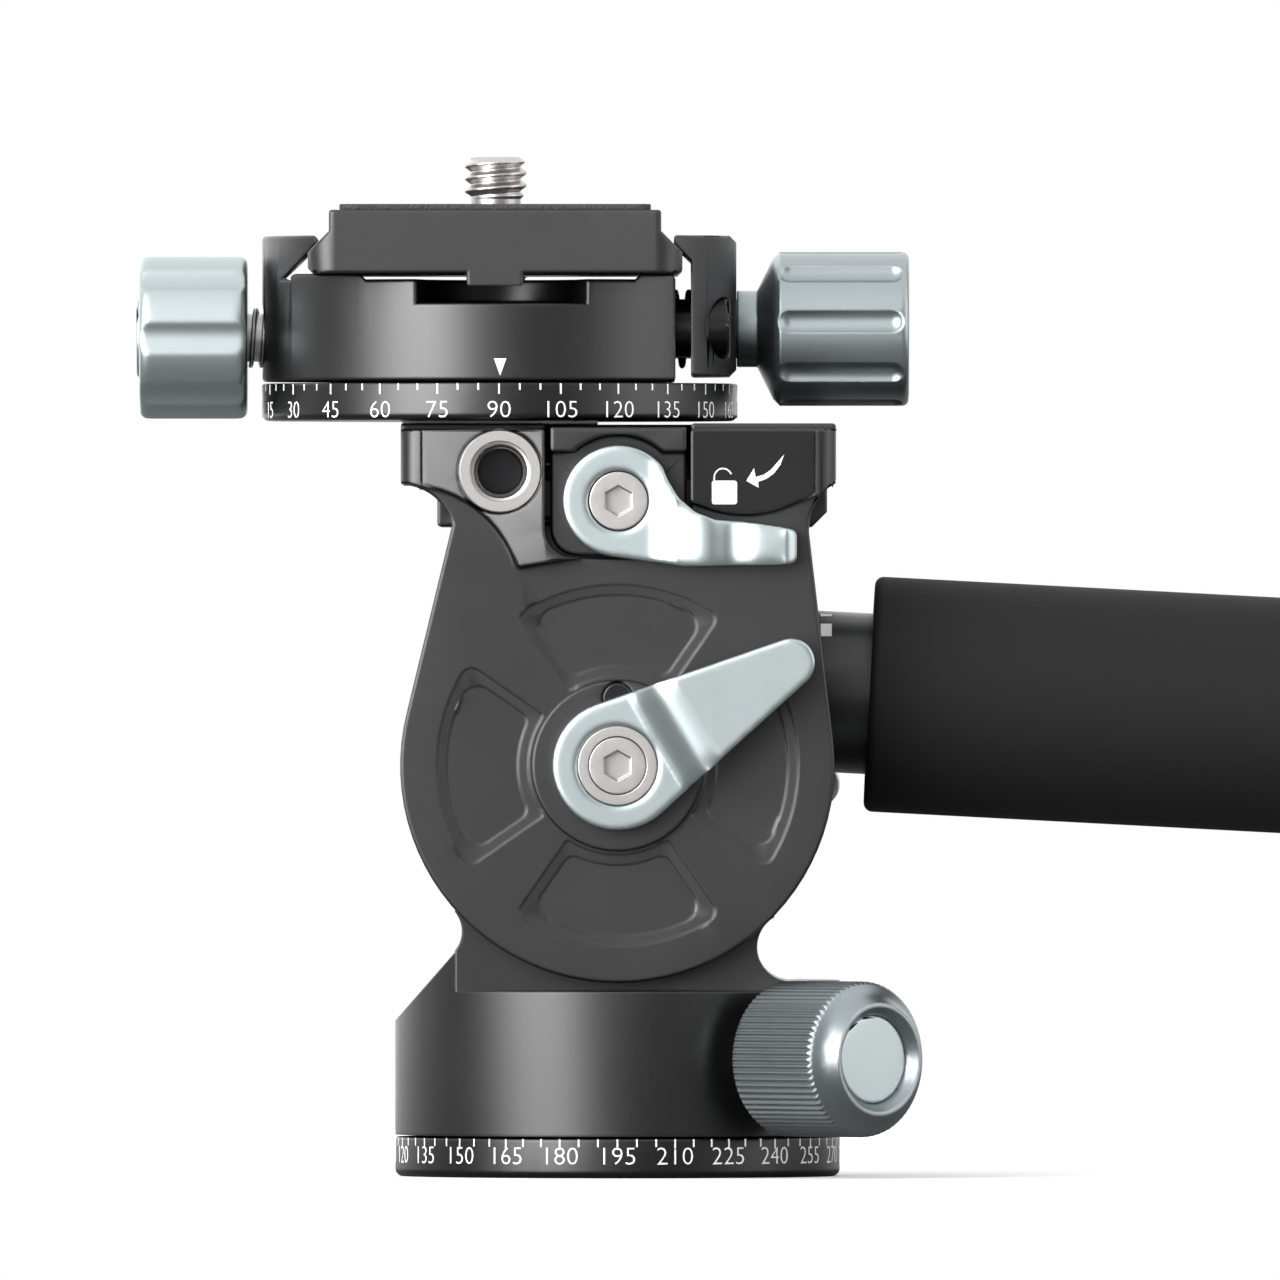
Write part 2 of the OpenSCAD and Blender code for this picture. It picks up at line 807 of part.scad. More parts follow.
// Far cheek, held by bolts whose heads are sunk in it
module rear_cheek() {
  color("#47494b")
    difference() {
      mirror([0, 1, 0])
        cheek() {
          left_pad_outline(0);
          mirror([1, 0])
            left_pad_outline(0);
        }
      for (place = bolt_places)
        translate([place[0], 0, place[1]]) {
          bar_y(bolt_r + run_fit, cheek_in - cut, cheek_out);
          bar_y(bolt_head_r + run_fit, cheek_out - bolt_head_l, pad_mid_y + cut);
        }
    }
}

// Bolts through the far cheek, the bridge and the bracket into the front cheek
module frame_bolts() {
  color("#8f9193")
    for (place = bolt_places)
      translate([place[0], 0, place[1]]) {
        bar_y(bolt_r, -cheek_in - bolt_depth, cheek_out - bolt_head_l);
        bar_y(bolt_head_r, cheek_out - bolt_head_l, cheek_out - fit);
      }
}

// Bridge between the cheeks, with the dovetail channel for the slide
module top_bridge() {
  color("#3b3d3f")
    difference() {
      along_y(-cheek_in, cheek_in)
        polygon([[bridge_left, bridge_bottom], [bridge_right - bridge_bevel, bridge_bottom],
                 [bridge_right, bridge_bottom + bridge_bevel], [bridge_right, channel_floor],
                 [platform_right, channel_floor], [platform_right, platform_h],
                 [platform_left, platform_h], [platform_left, channel_floor],
                 [bridge_left, channel_floor]]);
      translate([platform_left - cut, 0, 0])
        rotate([90, 0, 90])
          linear_extrude(platform_l + 2 * cut)
            polygon([[-rail_base_y - slide_fit, channel_floor],
                     [rail_base_y + slide_fit, channel_floor],
                     [rail_top_y + slide_fit, platform_h],
                     [rail_top_y + slide_fit, platform_h + cut],
                     [-rail_top_y - slide_fit, platform_h + cut],
                     [-rail_top_y - slide_fit, platform_h]]);
      translate([window_left, -cheek_in - cut, hook_bottom - slide_fit])
        cube([window_right - window_left, cheek_in - rail_top_y + cut, platform_h]);
      for (place = bolt_places)
        translate([place[0], 0, place[1]])
          bar_y(bolt_r + run_fit, -cheek_in - cut, cheek_in + cut);
      translate([slide_lever_x, 0, slide_lever_z])
        bar_y(m4_r + run_fit, -cheek_in - cut, slide_fit - lock_screw_end_y);
      for (x = [-1, 1])
        translate([x * slide_travel / 2, stop_pin_y, 0])
          bar_z(stop_pin_r + slide_fit, stop_slot_bottom, platform_h + cut);
      translate([-slide_travel / 2, stop_pin_y - stop_pin_r - slide_fit, stop_slot_bottom])
        cube([slide_travel, 2 * (stop_pin_r + slide_fit), platform_h]);
    }
}

// Steel insert of the accessory port
module accessory_insert() {
  color("#cfcbc4")
    translate([port_x, 0, port_z])
      difference() {
        union() {
          bar_y(port_flange_r, -port_front_y, port_flange_t - port_front_y);
          bar_y(port_body_r, -port_front_y, port_l - port_front_y);
        }
        bar_y(port_thread_r, -port_front_y - cut, port_l - port_front_y + cut);
      }
}

// Axle fixed in both cheeks, tapped at each end for a lever screw
axle_tap_l = 9;
module tilt_axle() {
  color("#c2c4c6")
    at_tilt()
      difference() {
        bar_y(axle_r, -cheek_out, cheek_out);
        for (side = [-1, 1])
          bar_y(m4_r + fit, side > 0 ? cheek_out - axle_tap_l : -cheek_out - cut,
                side > 0 ? cheek_out + cut : axle_tap_l - cheek_out);
      }
}

// Slippery washers between the upright and the cheeks
module tilt_friction_washers() {
  color("#e6e3da")
    at_tilt()
      for (from = [-cheek_in, upright_y])
        difference() {
          bar_y(lid_r, from, from + washer_t);
          bar_y(axle_r + grease_gap, from - cut, from + washer_t + cut);
        }
}

// Levers at the tilt axis: the lock lever in front and the drag lever on the far side
flange_t = 1.1;
flange_screw_up = 6.87;
flange_screw_head_r = 1.45;
flange_screw_r = 0.8;
flange_screw_head_t = 0.6;
flange_screw_l = 3.0;
lever_gap = 0.3;
lever_hub_r = 6.6;
lever_tip_r = 2.5;
lever_hub_t = 3.3;
lever_lift = 2.4;
lever_arm_t = 2.3;
lever_ramp_from = 4.9;
lever_ramp_to = 7.5;
lever_back_ramp = 2.3;
lever_washer_r = 4.0;
lever_washer_t = 0.55;
lever_head_r = 2.9;
lever_head_l = 1.9;
hex_r = 1.54;
hex_depth = 1.2;
lever_back = cheek_out + flange_t + lever_gap;
lever_face = lever_back + lever_hub_t;

// Raised flange that covers each end of the axle
module hub_flanges() {
  color("#434547")
    at_tilt()
      for (side = [0, 1])
        mirror([0, side, 0])
          difference() {
            bar_y(boss_r, -cheek_out - flange_t, -cheek_out);
            bar_y(m4_r + slide_fit, -cheek_out - flange_t - cut, cut - cheek_out);
            translate([0, 0, flange_screw_up]) {
              bar_y(flange_screw_head_r + run_fit, -cheek_out - flange_t - cut,
                    flange_screw_head_t - cheek_out - flange_t);
              bar_y(flange_screw_r + fit, -cheek_out - flange_t, cut - cheek_out);
            }
          }
}

// Small screw in each hub flange
module hub_flange_screws() {
  face = cheek_out + flange_t;
  color("#6d6f71")
    at_tilt()
      for (side = [0, 1])
        mirror([0, side, 0])
          translate([0, 0, flange_screw_up]) {
            bar_y(flange_screw_head_r, fit - face, flange_screw_head_t - face);
            bar_y(flange_screw_r, flange_screw_head_t - face, flange_screw_l - face);
          }
}

// A lever in front of the front cheek, swung up by an angle
module tilt_lever(angle) {
  at_tilt()
    rotate([0, -angle, 0])
      difference() {
        intersection() {
          along_y(-lever_face - lever_lift - cut, -lever_back + cut)
            polygon(link_points(lever_hub_r, lever_tip_r, tilt_lever_l));
          translate([0, 0, -lever_hub_r])
            linear_extrude(2 * lever_hub_r)
              tilt_lever_side();
        }
        bar_y(m4_r + run_fit, -lever_face - cut, -lever_back + cut);
        bar_y(lever_head_r + run_fit, -lever_face - cut, lever_head_l - lever_face);
        bar_y(lever_washer_r + run_fit, -lever_face - cut, lever_washer_t - lever_face);
      }
}

// Side view of a tilt lever: flat hub, ramp and lifted arm
module tilt_lever_side() {
  end = tilt_lever_l + lever_tip_r + cut;
  arm_face = lever_face + lever_lift;
  arm_back = arm_face - lever_arm_t;
  polygon([[-lever_hub_r - cut, -lever_back], [lever_ramp_to, -lever_back],
           [lever_ramp_to + lever_back_ramp, -arm_back], [end, -arm_back],
           [end, -arm_face], [lever_ramp_to, -arm_face],
           [lever_ramp_from, -lever_face], [-lever_hub_r - cut, -lever_face]]);
}

// Ring flush in the hub of a tilt lever
module tilt_lever_washer() {
  at_tilt()
    difference() {
      bar_y(lever_washer_r, fit - lever_face, lever_washer_t - lever_face);
      bar_y(lever_head_r + run_fit, -lever_face - cut, lever_washer_t - lever_face + cut);
    }
}

// Socket screw from a tilt lever into the axle
module tilt_lever_screw() {
  at_tilt()
    difference() {
      union() {
        bar_y(lever_head_r, fit - lever_face, lever_head_l - lever_face);
        bar_y(m4_r - fit, lever_head_l - lever_face, axle_tap_l - cheek_out - fit);
      }
      hex_socket(lever_face);
    }
}

// Hexagon socket cut into a face that looks along -Y
module hex_socket(face) {
  translate([0, hex_depth - face, 0])
    rotate([90, 0, 0])
      rotate([0, 0, 30])
        cylinder(r = hex_r, h = hex_depth + cut, $fn = 6);
}

module tilt_lock_lever() {
  color("#c6ced0")
    tilt_lever(tilt_lever_angle);
}

module tilt_lock_washer() {
  color("#b9b7b5")
    tilt_lever_washer();
}

module tilt_lock_screw() {
  color("#bcbab8")
    tilt_lever_screw();
}

module tilt_drag_lever() {
  color("#c6ced0")
    mirror([0, 1, 0])
      tilt_lever(drag_lever_angle);
}

module tilt_drag_washer() {
  color("#b9b7b5")
    mirror([0, 1, 0])
      tilt_lever_washer();
}

module tilt_drag_screw() {
  color("#bcbab8")
    mirror([0, 1, 0])
      tilt_lever_screw();
}

// Handle: bracket between the cheeks, neck, pivot, tube, grip and cap
neck_r = neck_d / 2;
neck_in = 2.5;
neck_l = 11.95;
neck_from = drum_r - neck_in;
neck_end = cheek_r + neck_l;
pivot_r = 6.2;
pivot_l = 12;
pivot_from = bracket_out_r + bracket_gap;
pivot_end = neck_end + pivot_l;
tube_wall = 1.2;
tube_gap = 0.3;
grip_r = grip_d / 2;
grip_start = 3.65;
grip_from = cheek_r + grip_start;
grip_gap = 0.1;
grip_edge = 0.9;
cap_t = 4.0;
cap_plug_l = 8;

// Turns +X to the line of the handle, starting level with the tilt axis
module at_handle() {
  at_tilt()
    translate([0, 0, handle_rise])
      rotate([0, handle_slope, 0])
        children();
}

// Bracket: a curved wall behind the upright with the neck that holds the handle
module handle_bracket() {
  wall = concat(arc_points([0, tilt_h], bracket_in_r, bracket_from, bracket_to, 16),
                arc_points([0, tilt_h], bracket_out_r, bracket_to, bracket_from, 16));
  color("#2b2c2d")
    difference() {
      union() {
        along_y(-cheek_in, cheek_in)
          polygon(wall);
        difference() {
          at_handle()
            bar_x(neck_r, neck_from, neck_end);
          at_tilt()
            bar_y(bracket_bolt_r, -cheek_in, cheek_in);
        }
      }
      at_handle()
        bar_x(pivot_r + run_fit, pivot_from - run_fit, neck_end + cut);
      for (place = bolt_places)
        translate([place[0], 0, place[1]])
          bar_y(bolt_r + run_fit, -cheek_in - cut, cheek_in + cut);
    }
}

// Steel pivot that joins the handle tube to the neck
module handle_pivot() {
  color("#b4b6b8")
    at_handle() {
      bar_x(pivot_r, pivot_from, neck_end + tube_gap);
      bar_x(neck_r - tube_wall - fit, neck_end + tube_gap, pivot_end);
    }
}

// Handle tube inside the grip
module handle_tube() {
  color("#34363a")
    at_handle()
      difference() {
        bar_x(neck_r, neck_end + tube_gap, grip_from + grip_l);
        bar_x(neck_r - tube_wall, neck_end, grip_from + grip_l + cut);
      }
}

// Soft grip with rounded ends
module handle_grip() {
  inner = neck_r + grip_gap;
  end = grip_from + grip_l;
  color("#2a2a2b")
    at_handle()
      turned_x()
        polygon(concat(
            [[inner, grip_from]],
            arc_points([grip_r - grip_edge, grip_from + grip_edge], grip_edge, -90, 0, 5),
            arc_points([grip_r - grip_edge, end - grip_edge], grip_edge, 0, 90, 5),
            [[inner, end]]));
}

// Cap plugged into the end of the handle
module handle_end_cap() {
  end = grip_from + grip_l;
  color("#3a3c3e")
    at_handle()
      turned_x()
        polygon(concat(
            [[0, end - cap_plug_l], [neck_r - tube_wall - fit, end - cap_plug_l],
             [neck_r - tube_wall - fit, end], [grip_r - edge, end]],
            arc_points([grip_r - cap_t, end], cap_t, 0, 90, 6),
            [[0, end + cap_t]]));
}

// Slide lock: jaw in the front window, its lever and screw
slide_hub_r = 5.7;
slide_lever_back = cheek_out + slide_gap;
slide_lever_hub_t = 2.6;
slide_lever_bump = 1.1;
slide_lever_bar_h = 4.4;
slide_lever_drop = 6.5;
slide_tip_r = 0.7;
lever_shares = [0.36, 0.7, 0.54, 0.43, 0.34, 0.27];
lever_rise_shares = [0.25, 1.4, 3.4, 6.5];
plan_shares = [0.95, 0.76, 0.63, 0.52, 0.46, 0.18];
slide_head_r = 2.95;

// Jaw that clamps the rail, with a lip over the lever's hub
module slide_jaw() {
  back = cheek_in + slide_fit;
  color("#3f4143")
    difference() {
      union() {
        along_y(-cheek_out, -back)
          notch_outline(jaw_left, jaw_right, jaw_bottom, jaw_top, jaw_corner_r);
        along_y(-pad_mid_y, -back)
          translate([jaw_left, lip_bottom])
            square([jaw_right - jaw_left, jaw_top - lip_bottom]);
        translate([jaw_left, 0, 0])
          rotate([90, 0, 90])
            linear_extrude(jaw_right - jaw_left)
              polygon([[-back - cut, hook_bottom],
                       [-rail_base_y - slide_fit, hook_bottom],
                       [-rail_base_y - slide_fit, channel_floor],
                       [-dovetail_y(jaw_top) - slide_fit, jaw_top],
                       [-back - cut, jaw_top]]);
      }
      translate([slide_lever_x, 0, slide_lever_z]) {
        bar_y(lip_arc_r, -pad_mid_y - cut, -cheek_out);
        bar_y(m4_r + run_fit, -cheek_out - cut, -rail_top_y);
      }
    }
}

// Front view of the slide lock lever round its own axis
module slide_lever_outline() {
  hub = slide_hub_r;
  reach = slide_lever_l;
  bottom = -slide_lever_drop;
  top = bottom + slide_lever_bar_h;
  polygon(concat(
      arc_points([0, 0], hub, 37, 262),
      [[reach * lever_shares[0], bottom - edge * lever_rise_shares[0]]],
      arc_points([reach - slide_tip_r, bottom + slide_tip_r], slide_tip_r, -90, 0, 6),
      arc_points([reach - slide_tip_r, top - 2 * slide_tip_r], slide_tip_r, 0, 80, 6),
      [[reach * lever_shares[1], top]],
      [for (i = [0:3]) [reach * lever_shares[i + 2], top + edge * lever_rise_shares[i]]]));
}

// Plan of the slide lock lever: flat hub, a bump for the finger and a raised tip
module slide_lever_plan() {
  hub = slide_hub_r;
  reach = slide_lever_l;
  face = slide_lever_back + slide_lever_hub_t;
  bump = face + slide_lever_bump;
  polygon([[-hub - cut, -slide_lever_back], [reach + cut, -slide_lever_back],
           [reach + cut, -face], [reach * plan_shares[0], -bump], [reach * plan_shares[1], -bump],
           [reach * plan_shares[2], -face - slide_lever_bump / 4],
           [reach * plan_shares[3], -bump], [reach * plan_shares[4], -bump],
           [reach * plan_shares[5], -face], [-hub - cut, -face]]);
}

// Lever that locks the slide
module slide_lock_lever() {
  face = slide_lever_back + slide_lever_hub_t;
  color("#c6ced0")
    translate([slide_lever_x, 0, slide_lever_z])
      difference() {
        intersection() {
          along_y(-face - slide_lever_bump - cut, -slide_lever_back + cut)
            slide_lever_outline();
          translate([0, 0, -2 * slide_hub_r])
            linear_extrude(4 * slide_hub_r)
              slide_lever_plan();
        }
        bar_y(m4_r + run_fit, -face - cut, cut - slide_lever_back);
        bar_y(slide_head_r + run_fit, -face - cut, lever_head_l - face);
      }
}

// Socket screw of the slide lock
module slide_lock_screw() {
  face = slide_lever_back + slide_lever_hub_t;
  color("#bcbab8")
    translate([slide_lever_x, 0, slide_lever_z])
      difference() {
        union() {
          bar_y(slide_head_r, fit - face, lever_head_l - face);
          bar_y(m4_r, lever_head_l - face, -lock_screw_end_y);
        }
        hex_socket(face);
      }
}

// Slide: dovetail rail, scale ring, drum and bolt of the panorama joint
rail_screw_x = 6.5;
rail_screw_y = 6.5;
rail_screw_top = 2.6;
ring_top = ring_bottom + clamp_ring_h;
clamp_margin = 5.2;
clamp_r = plate_w / 2 + clamp_margin;
spigot_inset = 7.0;
spigot_r = clamp_r - spigot_inset;
spigot_h = 1.1;
pano_drum_r = 9.5;
pano_drum_h = 6.5;
pano_drum_top = ring_top + pano_drum_h;
pano_bolt_r = 4.0;
pano_bolt_up = 0.6;
pano_bolt_from = ring_bottom + pano_bolt_up;
pano_head_r = 6.5;
pano_head_h = 1.9;
pano_hex_r = 2.31;

// Clamp body and what it carries, measured from the panorama axis
clamp_bottom = ring_top + ring_gap;
clamp_floor = clamp_bottom + clamp_body_h;
notch_depth = 2.4;
notch_floor = clamp_floor - notch_depth;
land_h = 0.6;
land_w = 3.5;
land_shares = [0.56, 0.585, 0.868, 0.88];
land_top = clamp_floor + land_h;
clamp_flat_in = 6.3;
clamp_flat_x = clamp_r - clamp_flat_in;
plate_x = -0.4;
plate_edge_t = 1.6;
plate_chamfer = 0.5;
plate_edge_z = land_top + plate_chamfer + plate_edge_t;
jaw_h = 3.9;
jaw_land_top = land_top + jaw_h;
jaw_lip = 0.9;
jaw_gap = 0.05;
fixed_jaw_x = plate_x - plate_w / 2 - jaw_gap;
moving_jaw_x = plate_x + plate_w / 2 + jaw_gap;
notch_r = 7.45;
notch_x = 0.25;
notch_l = 7.2;
notch_y = clamp_r - notch_l;
notch_flare = 1.6;
web_bore_r = pano_bolt_r + slide_fit;
pano_lock_up = 4.5;
pano_lock_z = clamp_bottom + pano_lock_up;
pano_shoe_r = 2.2;
pano_shoe_l = 2.8;
pano_knob_gap = 1.5;
pano_knob_from = clamp_r + pano_knob_gap;
pano_knob_l = 11.0;
pano_screw_in_knob = 6.5;
spring_seat = 4.0;
spring_seat_x = clamp_r - spring_seat;
spring_wire_r = 0.25;
spring_r = 2.85;
spring_turns = 4.5;
spring_room = 0.03;
clamp_screw_up = 5.4;
clamp_screw_z = clamp_bottom + clamp_screw_up;
clamp_screw_r = 3.0;
clamp_screw_in = 7.5;
clamp_screw_from = clamp_flat_x - clamp_screw_in;
guide_pin_r = 2.95;
guide_pin_y = 11;
guide_pin_held = 4.7;
guide_pin_from = clamp_flat_x - guide_pin_held - jaw_travel;
moving_jaw_gap = 1.6;
moving_jaw_t = 4.6;
moving_jaw_up = 0.5;
moving_jaw_out_r = 2.0;
moving_jaw_in = clamp_flat_x + moving_jaw_gap;
moving_jaw_out = moving_jaw_in + moving_jaw_t;
moving_jaw_bottom = clamp_bottom + moving_jaw_up;
moving_jaw_r = clamp_r + moving_jaw_out_r;
moving_jaw_cx = -0.86;
jaw_pin_depth = 3.8;

// Moves to the panorama axis, at rest at the far end of the slide
module at_pano() {
  translate([pano_x, 0, 0])
    children();
}

// Turns +X to the line of the panorama lock
module at_pano_lock() {
  translate([pano_x, 0, pano_lock_z])
    rotate([0, 0, 180])
      children();
}

// Places of the four rail screws
module at_rail_screws() {
  at_pano()
    for (x = [-1, 1], y = [-1, 1])
      translate([x * rail_screw_x, y * rail_screw_y, 0])
        children();
}

// Dovetail rail under the scale ring
module slide_rail() {
  color("#6f7173")
    difference() {
      translate([pano_x - rail_l / 2, 0, 0])
        rotate([90, 0, 90])
          linear_extrude(rail_l)
            polygon([[-rail_base_y, channel_floor + slide_fit],
                     [rail_base_y, channel_floor + slide_fit],
                     [rail_top_y, platform_h], [rail_top_y, ring_bottom],
                     [-rail_top_y, ring_bottom], [-rail_top_y, platform_h]]);
      at_rail_screws() {
        bar_z(bolt_head_r + run_fit, channel_floor, channel_floor + bolt_head_l);
        bar_z(bolt_r + run_fit, channel_floor, ring_bottom + cut);
      }
    }
}

// Screws from the rail up into the scale ring
module rail_screws() {
  color("#8f9193")
    at_rail_screws() {
      bar_z(bolt_head_r, channel_floor + 2 * slide_fit, channel_floor + bolt_head_l);
      bar_z(bolt_r, channel_floor + bolt_head_l, ring_bottom + rail_screw_top);
    }
}

// Scale ring of the panorama joint, with the low step that centres the clamp
module pano_ring() {
  color("#4a4c4e")
    difference() {
      at_pano()
        rotate_extrude()
          polygon(concat(
              [[pano_bolt_r + fit, ring_bottom]],
              arc_points([clamp_r - edge, ring_bottom + edge], edge, -90, 0, 5),
              [[clamp_r, ring_top], [spigot_r, ring_top],
               [spigot_r, ring_top + spigot_h], [pano_bolt_r + fit, ring_top + spigot_h]]));
      at_rail_screws()
        bar_z(bolt_r + fit, ring_bottom - cut, ring_bottom + rail_screw_top + fit);
      at_pano()
        translate([0, stop_pin_y, 0])
          bar_z(stop_pin_r + fit, ring_bottom - cut, stop_pin_top + fit);
    }
}

// Drum that the clamp turns on and the panorama lock presses
module pano_drum() {
  color("#b8babc")
    at_pano()
      difference() {
        bar_z(pano_drum_r, ring_top + spigot_h, pano_drum_top);
        bar_z(pano_bolt_r + fit, ring_top, pano_drum_top + cut);
      }
}

// Pin that stops the slide at both ends of its slot
module slide_stop_pin() {
  color("#a2a4a6")
    at_pano()
      translate([0, stop_pin_y, 0])
        bar_z(stop_pin_r, stop_pin_bottom, stop_pin_top);
}

// Bolt that holds the clamp down on its drum
module pano_bolt() {
  head = notch_floor + slide_fit;
  color("#9fa1a3")
    at_pano()
      difference() {
        union() {
          bar_z(pano_bolt_r, pano_bolt_from, head);
          bar_z(pano_head_r, head, head + pano_head_h);
        }
        translate([0, 0, head + pano_head_h - hex_depth])
          cylinder(r = pano_hex_r, h = hex_depth + cut, $fn = 6);
      }
}

// Front view of the clamp body, measured from the panorama axis
module clamp_body_outline() {
  polygon([[-clamp_r, clamp_bottom], [clamp_flat_x, clamp_bottom], [clamp_flat_x, clamp_floor],
           [clamp_flat_x - land_h / 2, land_top], [clamp_flat_x - land_w, land_top],
           [clamp_flat_x - land_w - land_h, clamp_floor],
           [-clamp_r * land_shares[0], clamp_floor], [-clamp_r * land_shares[1], land_top],
           [-clamp_r * land_shares[2], land_top],
           [-clamp_r * land_shares[3], land_top - plate_chamfer],
           [fixed_jaw_x + land_top - plate_chamfer - plate_edge_z, land_top - plate_chamfer],
           [fixed_jaw_x + jaw_land_top - jaw_lip - plate_edge_z, jaw_land_top - jaw_lip],
           [fixed_jaw_x + jaw_land_top - jaw_lip - plate_edge_z, jaw_land_top],
           [-clamp_r, jaw_land_top]]);
}

// Notch at each end of the clamp, where the plate's stop tabs run
module clamp_notches() {
  for (side = [0, 1])
    mirror([0, side, 0])
      translate([notch_x, 0, notch_floor])
        linear_extrude(clamp_body_h) {
          polygon([[-notch_r - notch_flare, -clamp_r - cut],
                   [notch_r + notch_flare, -clamp_r - cut],
                   [notch_r, -notch_y], [-notch_r, -notch_y]]);
          translate([0, -notch_y])
            circle(r = notch_r);
        }
}

// Turning clamp body with its fixed jaw
module clamp_body() {
  shoe_from = pano_drum_r + grease_gap;
  shoe_end = shoe_from + pano_shoe_l;
  color("#55575a")
    difference() {
      at_pano()
        difference() {
          intersection() {
            along_y(-clamp_r - cut, clamp_r + cut)
              clamp_body_outline();
            bar_z(clamp_r, clamp_bottom, jaw_land_top);
          }
          bar_z(spigot_r + step_room, clamp_bottom - cut,
                ring_top + spigot_h + step_room);
          bar_z(pano_drum_r + grease_gap, clamp_bottom, pano_drum_top + step_room);
          bar_z(web_bore_r, clamp_bottom, clamp_floor + cut);
          bar_z(pano_head_r + grease_gap, notch_floor, jaw_land_top);
          clamp_notches();
          translate([0, 0, clamp_screw_z]) {
            bar_x(clamp_screw_r + run_fit, clamp_screw_from - fit, clamp_flat_x + cut);
            bar_x(jaw_spring_r + jaw_spring_wire_r + slide_fit,
                  clamp_flat_x - jaw_spring_seat, clamp_flat_x + cut);
            for (y = [-guide_pin_y, guide_pin_y])
              translate([0, y, 0])
                bar_x(guide_pin_r + run_fit, guide_pin_from - step_room,
                      clamp_flat_x + cut);
          }
        }
      at_pano_lock() {
        bar_x(pano_shoe_r + run_fit, 0, shoe_end + m5_pitch + step_room);
        bar_x(m5_r + run_fit, shoe_end, clamp_r + cut);
        bar_x(spring_r + spring_wire_r + slide_fit, spring_seat_x, clamp_r + cut);
      }
    }
}

// One unbroken spring of round wire along X, its ends lying flat against their seats
function coil_ring(t, from, length, mean_r, wire_r, turns) =
    let (a = 360 * turns * t, x = from + wire_r + (length - 2 * wire_r) * t)
  [for (j = [0:5]) let (b = 60 * j)
      [x + wire_r * sin(b), (mean_r + wire_r * cos(b)) * cos(a),
       (mean_r + wire_r * cos(b)) * sin(a)]];

module coil(from, length, mean_r, wire_r, turns) {
  rings = round(12 * turns);
  points = [for (i = [0:rings]) each coil_ring(i / rings, from, length, mean_r, wire_r, turns)];
  sides = [for (i = [0:rings - 1], j = [0:5])
      let (a = 6 * i + j, b = 6 * i + (j + 1) % 6)
      each [[a, b, b + 6], [a, b + 6, a + 6]]];
  last = 6 * rings;
  ends = [for (j = [1:4]) each [[0, j + 1, j], [last, last + j, last + j + 1]]];
  polyhedron(points, concat(sides, ends), convexity = 10);
}

// Spring seen between the clamp body and the panorama lock knob
module pano_knob_spring() {
  from = spring_seat_x + spring_room;
  color("#b9bbbd")
    at_pano_lock()
      coil(from, pano_knob_from - spring_room - from, spring_r, spring_wire_r, spring_turns);
}

// Spring round the clamp screw that pushes the moving jaw open
jaw_spring_r = 3.75;
jaw_spring_wire_r = 0.3;
jaw_spring_seat = 2.4;
jaw_spring_pocket = 1.5;
jaw_spring_turns = 3.5;
module jaw_spring() {
  from = clamp_flat_x - jaw_spring_seat + spring_room;
  to = moving_jaw_in + jaw_spring_pocket - spring_room;
  color("#b9bbbd")
    at_pano()
      translate([0, 0, clamp_screw_z])
        coil(from, to - from, jaw_spring_r, jaw_spring_wire_r, jaw_spring_turns);
}

// Brake shoe of the panorama lock
module pano_brake_shoe() {
  from = pano_drum_r + grease_gap;
  color("#b08d4c")
    at_pano_lock()
      bar_x(pano_shoe_r, from, from + pano_shoe_l);
}

// Screw of the panorama lock
module pano_lock_screw() {
  color("#a2a4a6")
    at_pano_lock()
      bar_x(m5_r, pano_drum_r + grease_gap + pano_shoe_l,
            pano_knob_from + pano_screw_in_knob);
}

// Panorama lock knob with eight shallow scallops
pano_lobes = 8;
pano_lobe_r = 3.0;
pano_lobe_depth = 0.55;
pano_cap_r = 4.0;
pano_cap_up = 0.3;
pano_cap_t = 1.4;
pano_knob_edge = 0.9;
module pano_knob() {
  radius = pano_knob_d / 2;
  end = pano_knob_from + pano_knob_l;
  color("#b9c1c3")
    at_pano_lock()
      difference() {
        turned_x()
          polygon(concat(
              [[0, pano_knob_from]],
              arc_points([radius - pano_knob_edge, pano_knob_from + pano_knob_edge],
                         pano_knob_edge, -90, 0, 4),
              arc_points([radius - pano_knob_edge, end - pano_knob_edge],
                         pano_knob_edge, 0, 90, 4),
              [[0, end]]));
        for (i = [0:pano_lobes - 1])
          rotate([i * 360 / pano_lobes, 0, 0])
            translate([0, radius + pano_lobe_r - pano_lobe_depth, 0])
              bar_x(pano_lobe_r, pano_knob_from - cut, end + cut);
        bar_x(m5_r + fit, pano_knob_from - cut, pano_knob_from + pano_screw_in_knob + fit);
        bar_x(pano_cap_r + fit, end + pano_cap_up - pano_cap_t, end + cut);
      }
}

// Cap in the end of the panorama lock knob
module pano_knob_cap() {
  top = pano_knob_from + pano_knob_l + pano_cap_up;
  color("#d7e1e3")
    at_pano_lock()
      bar_x(pano_cap_r, top - pano_cap_t, top);
}

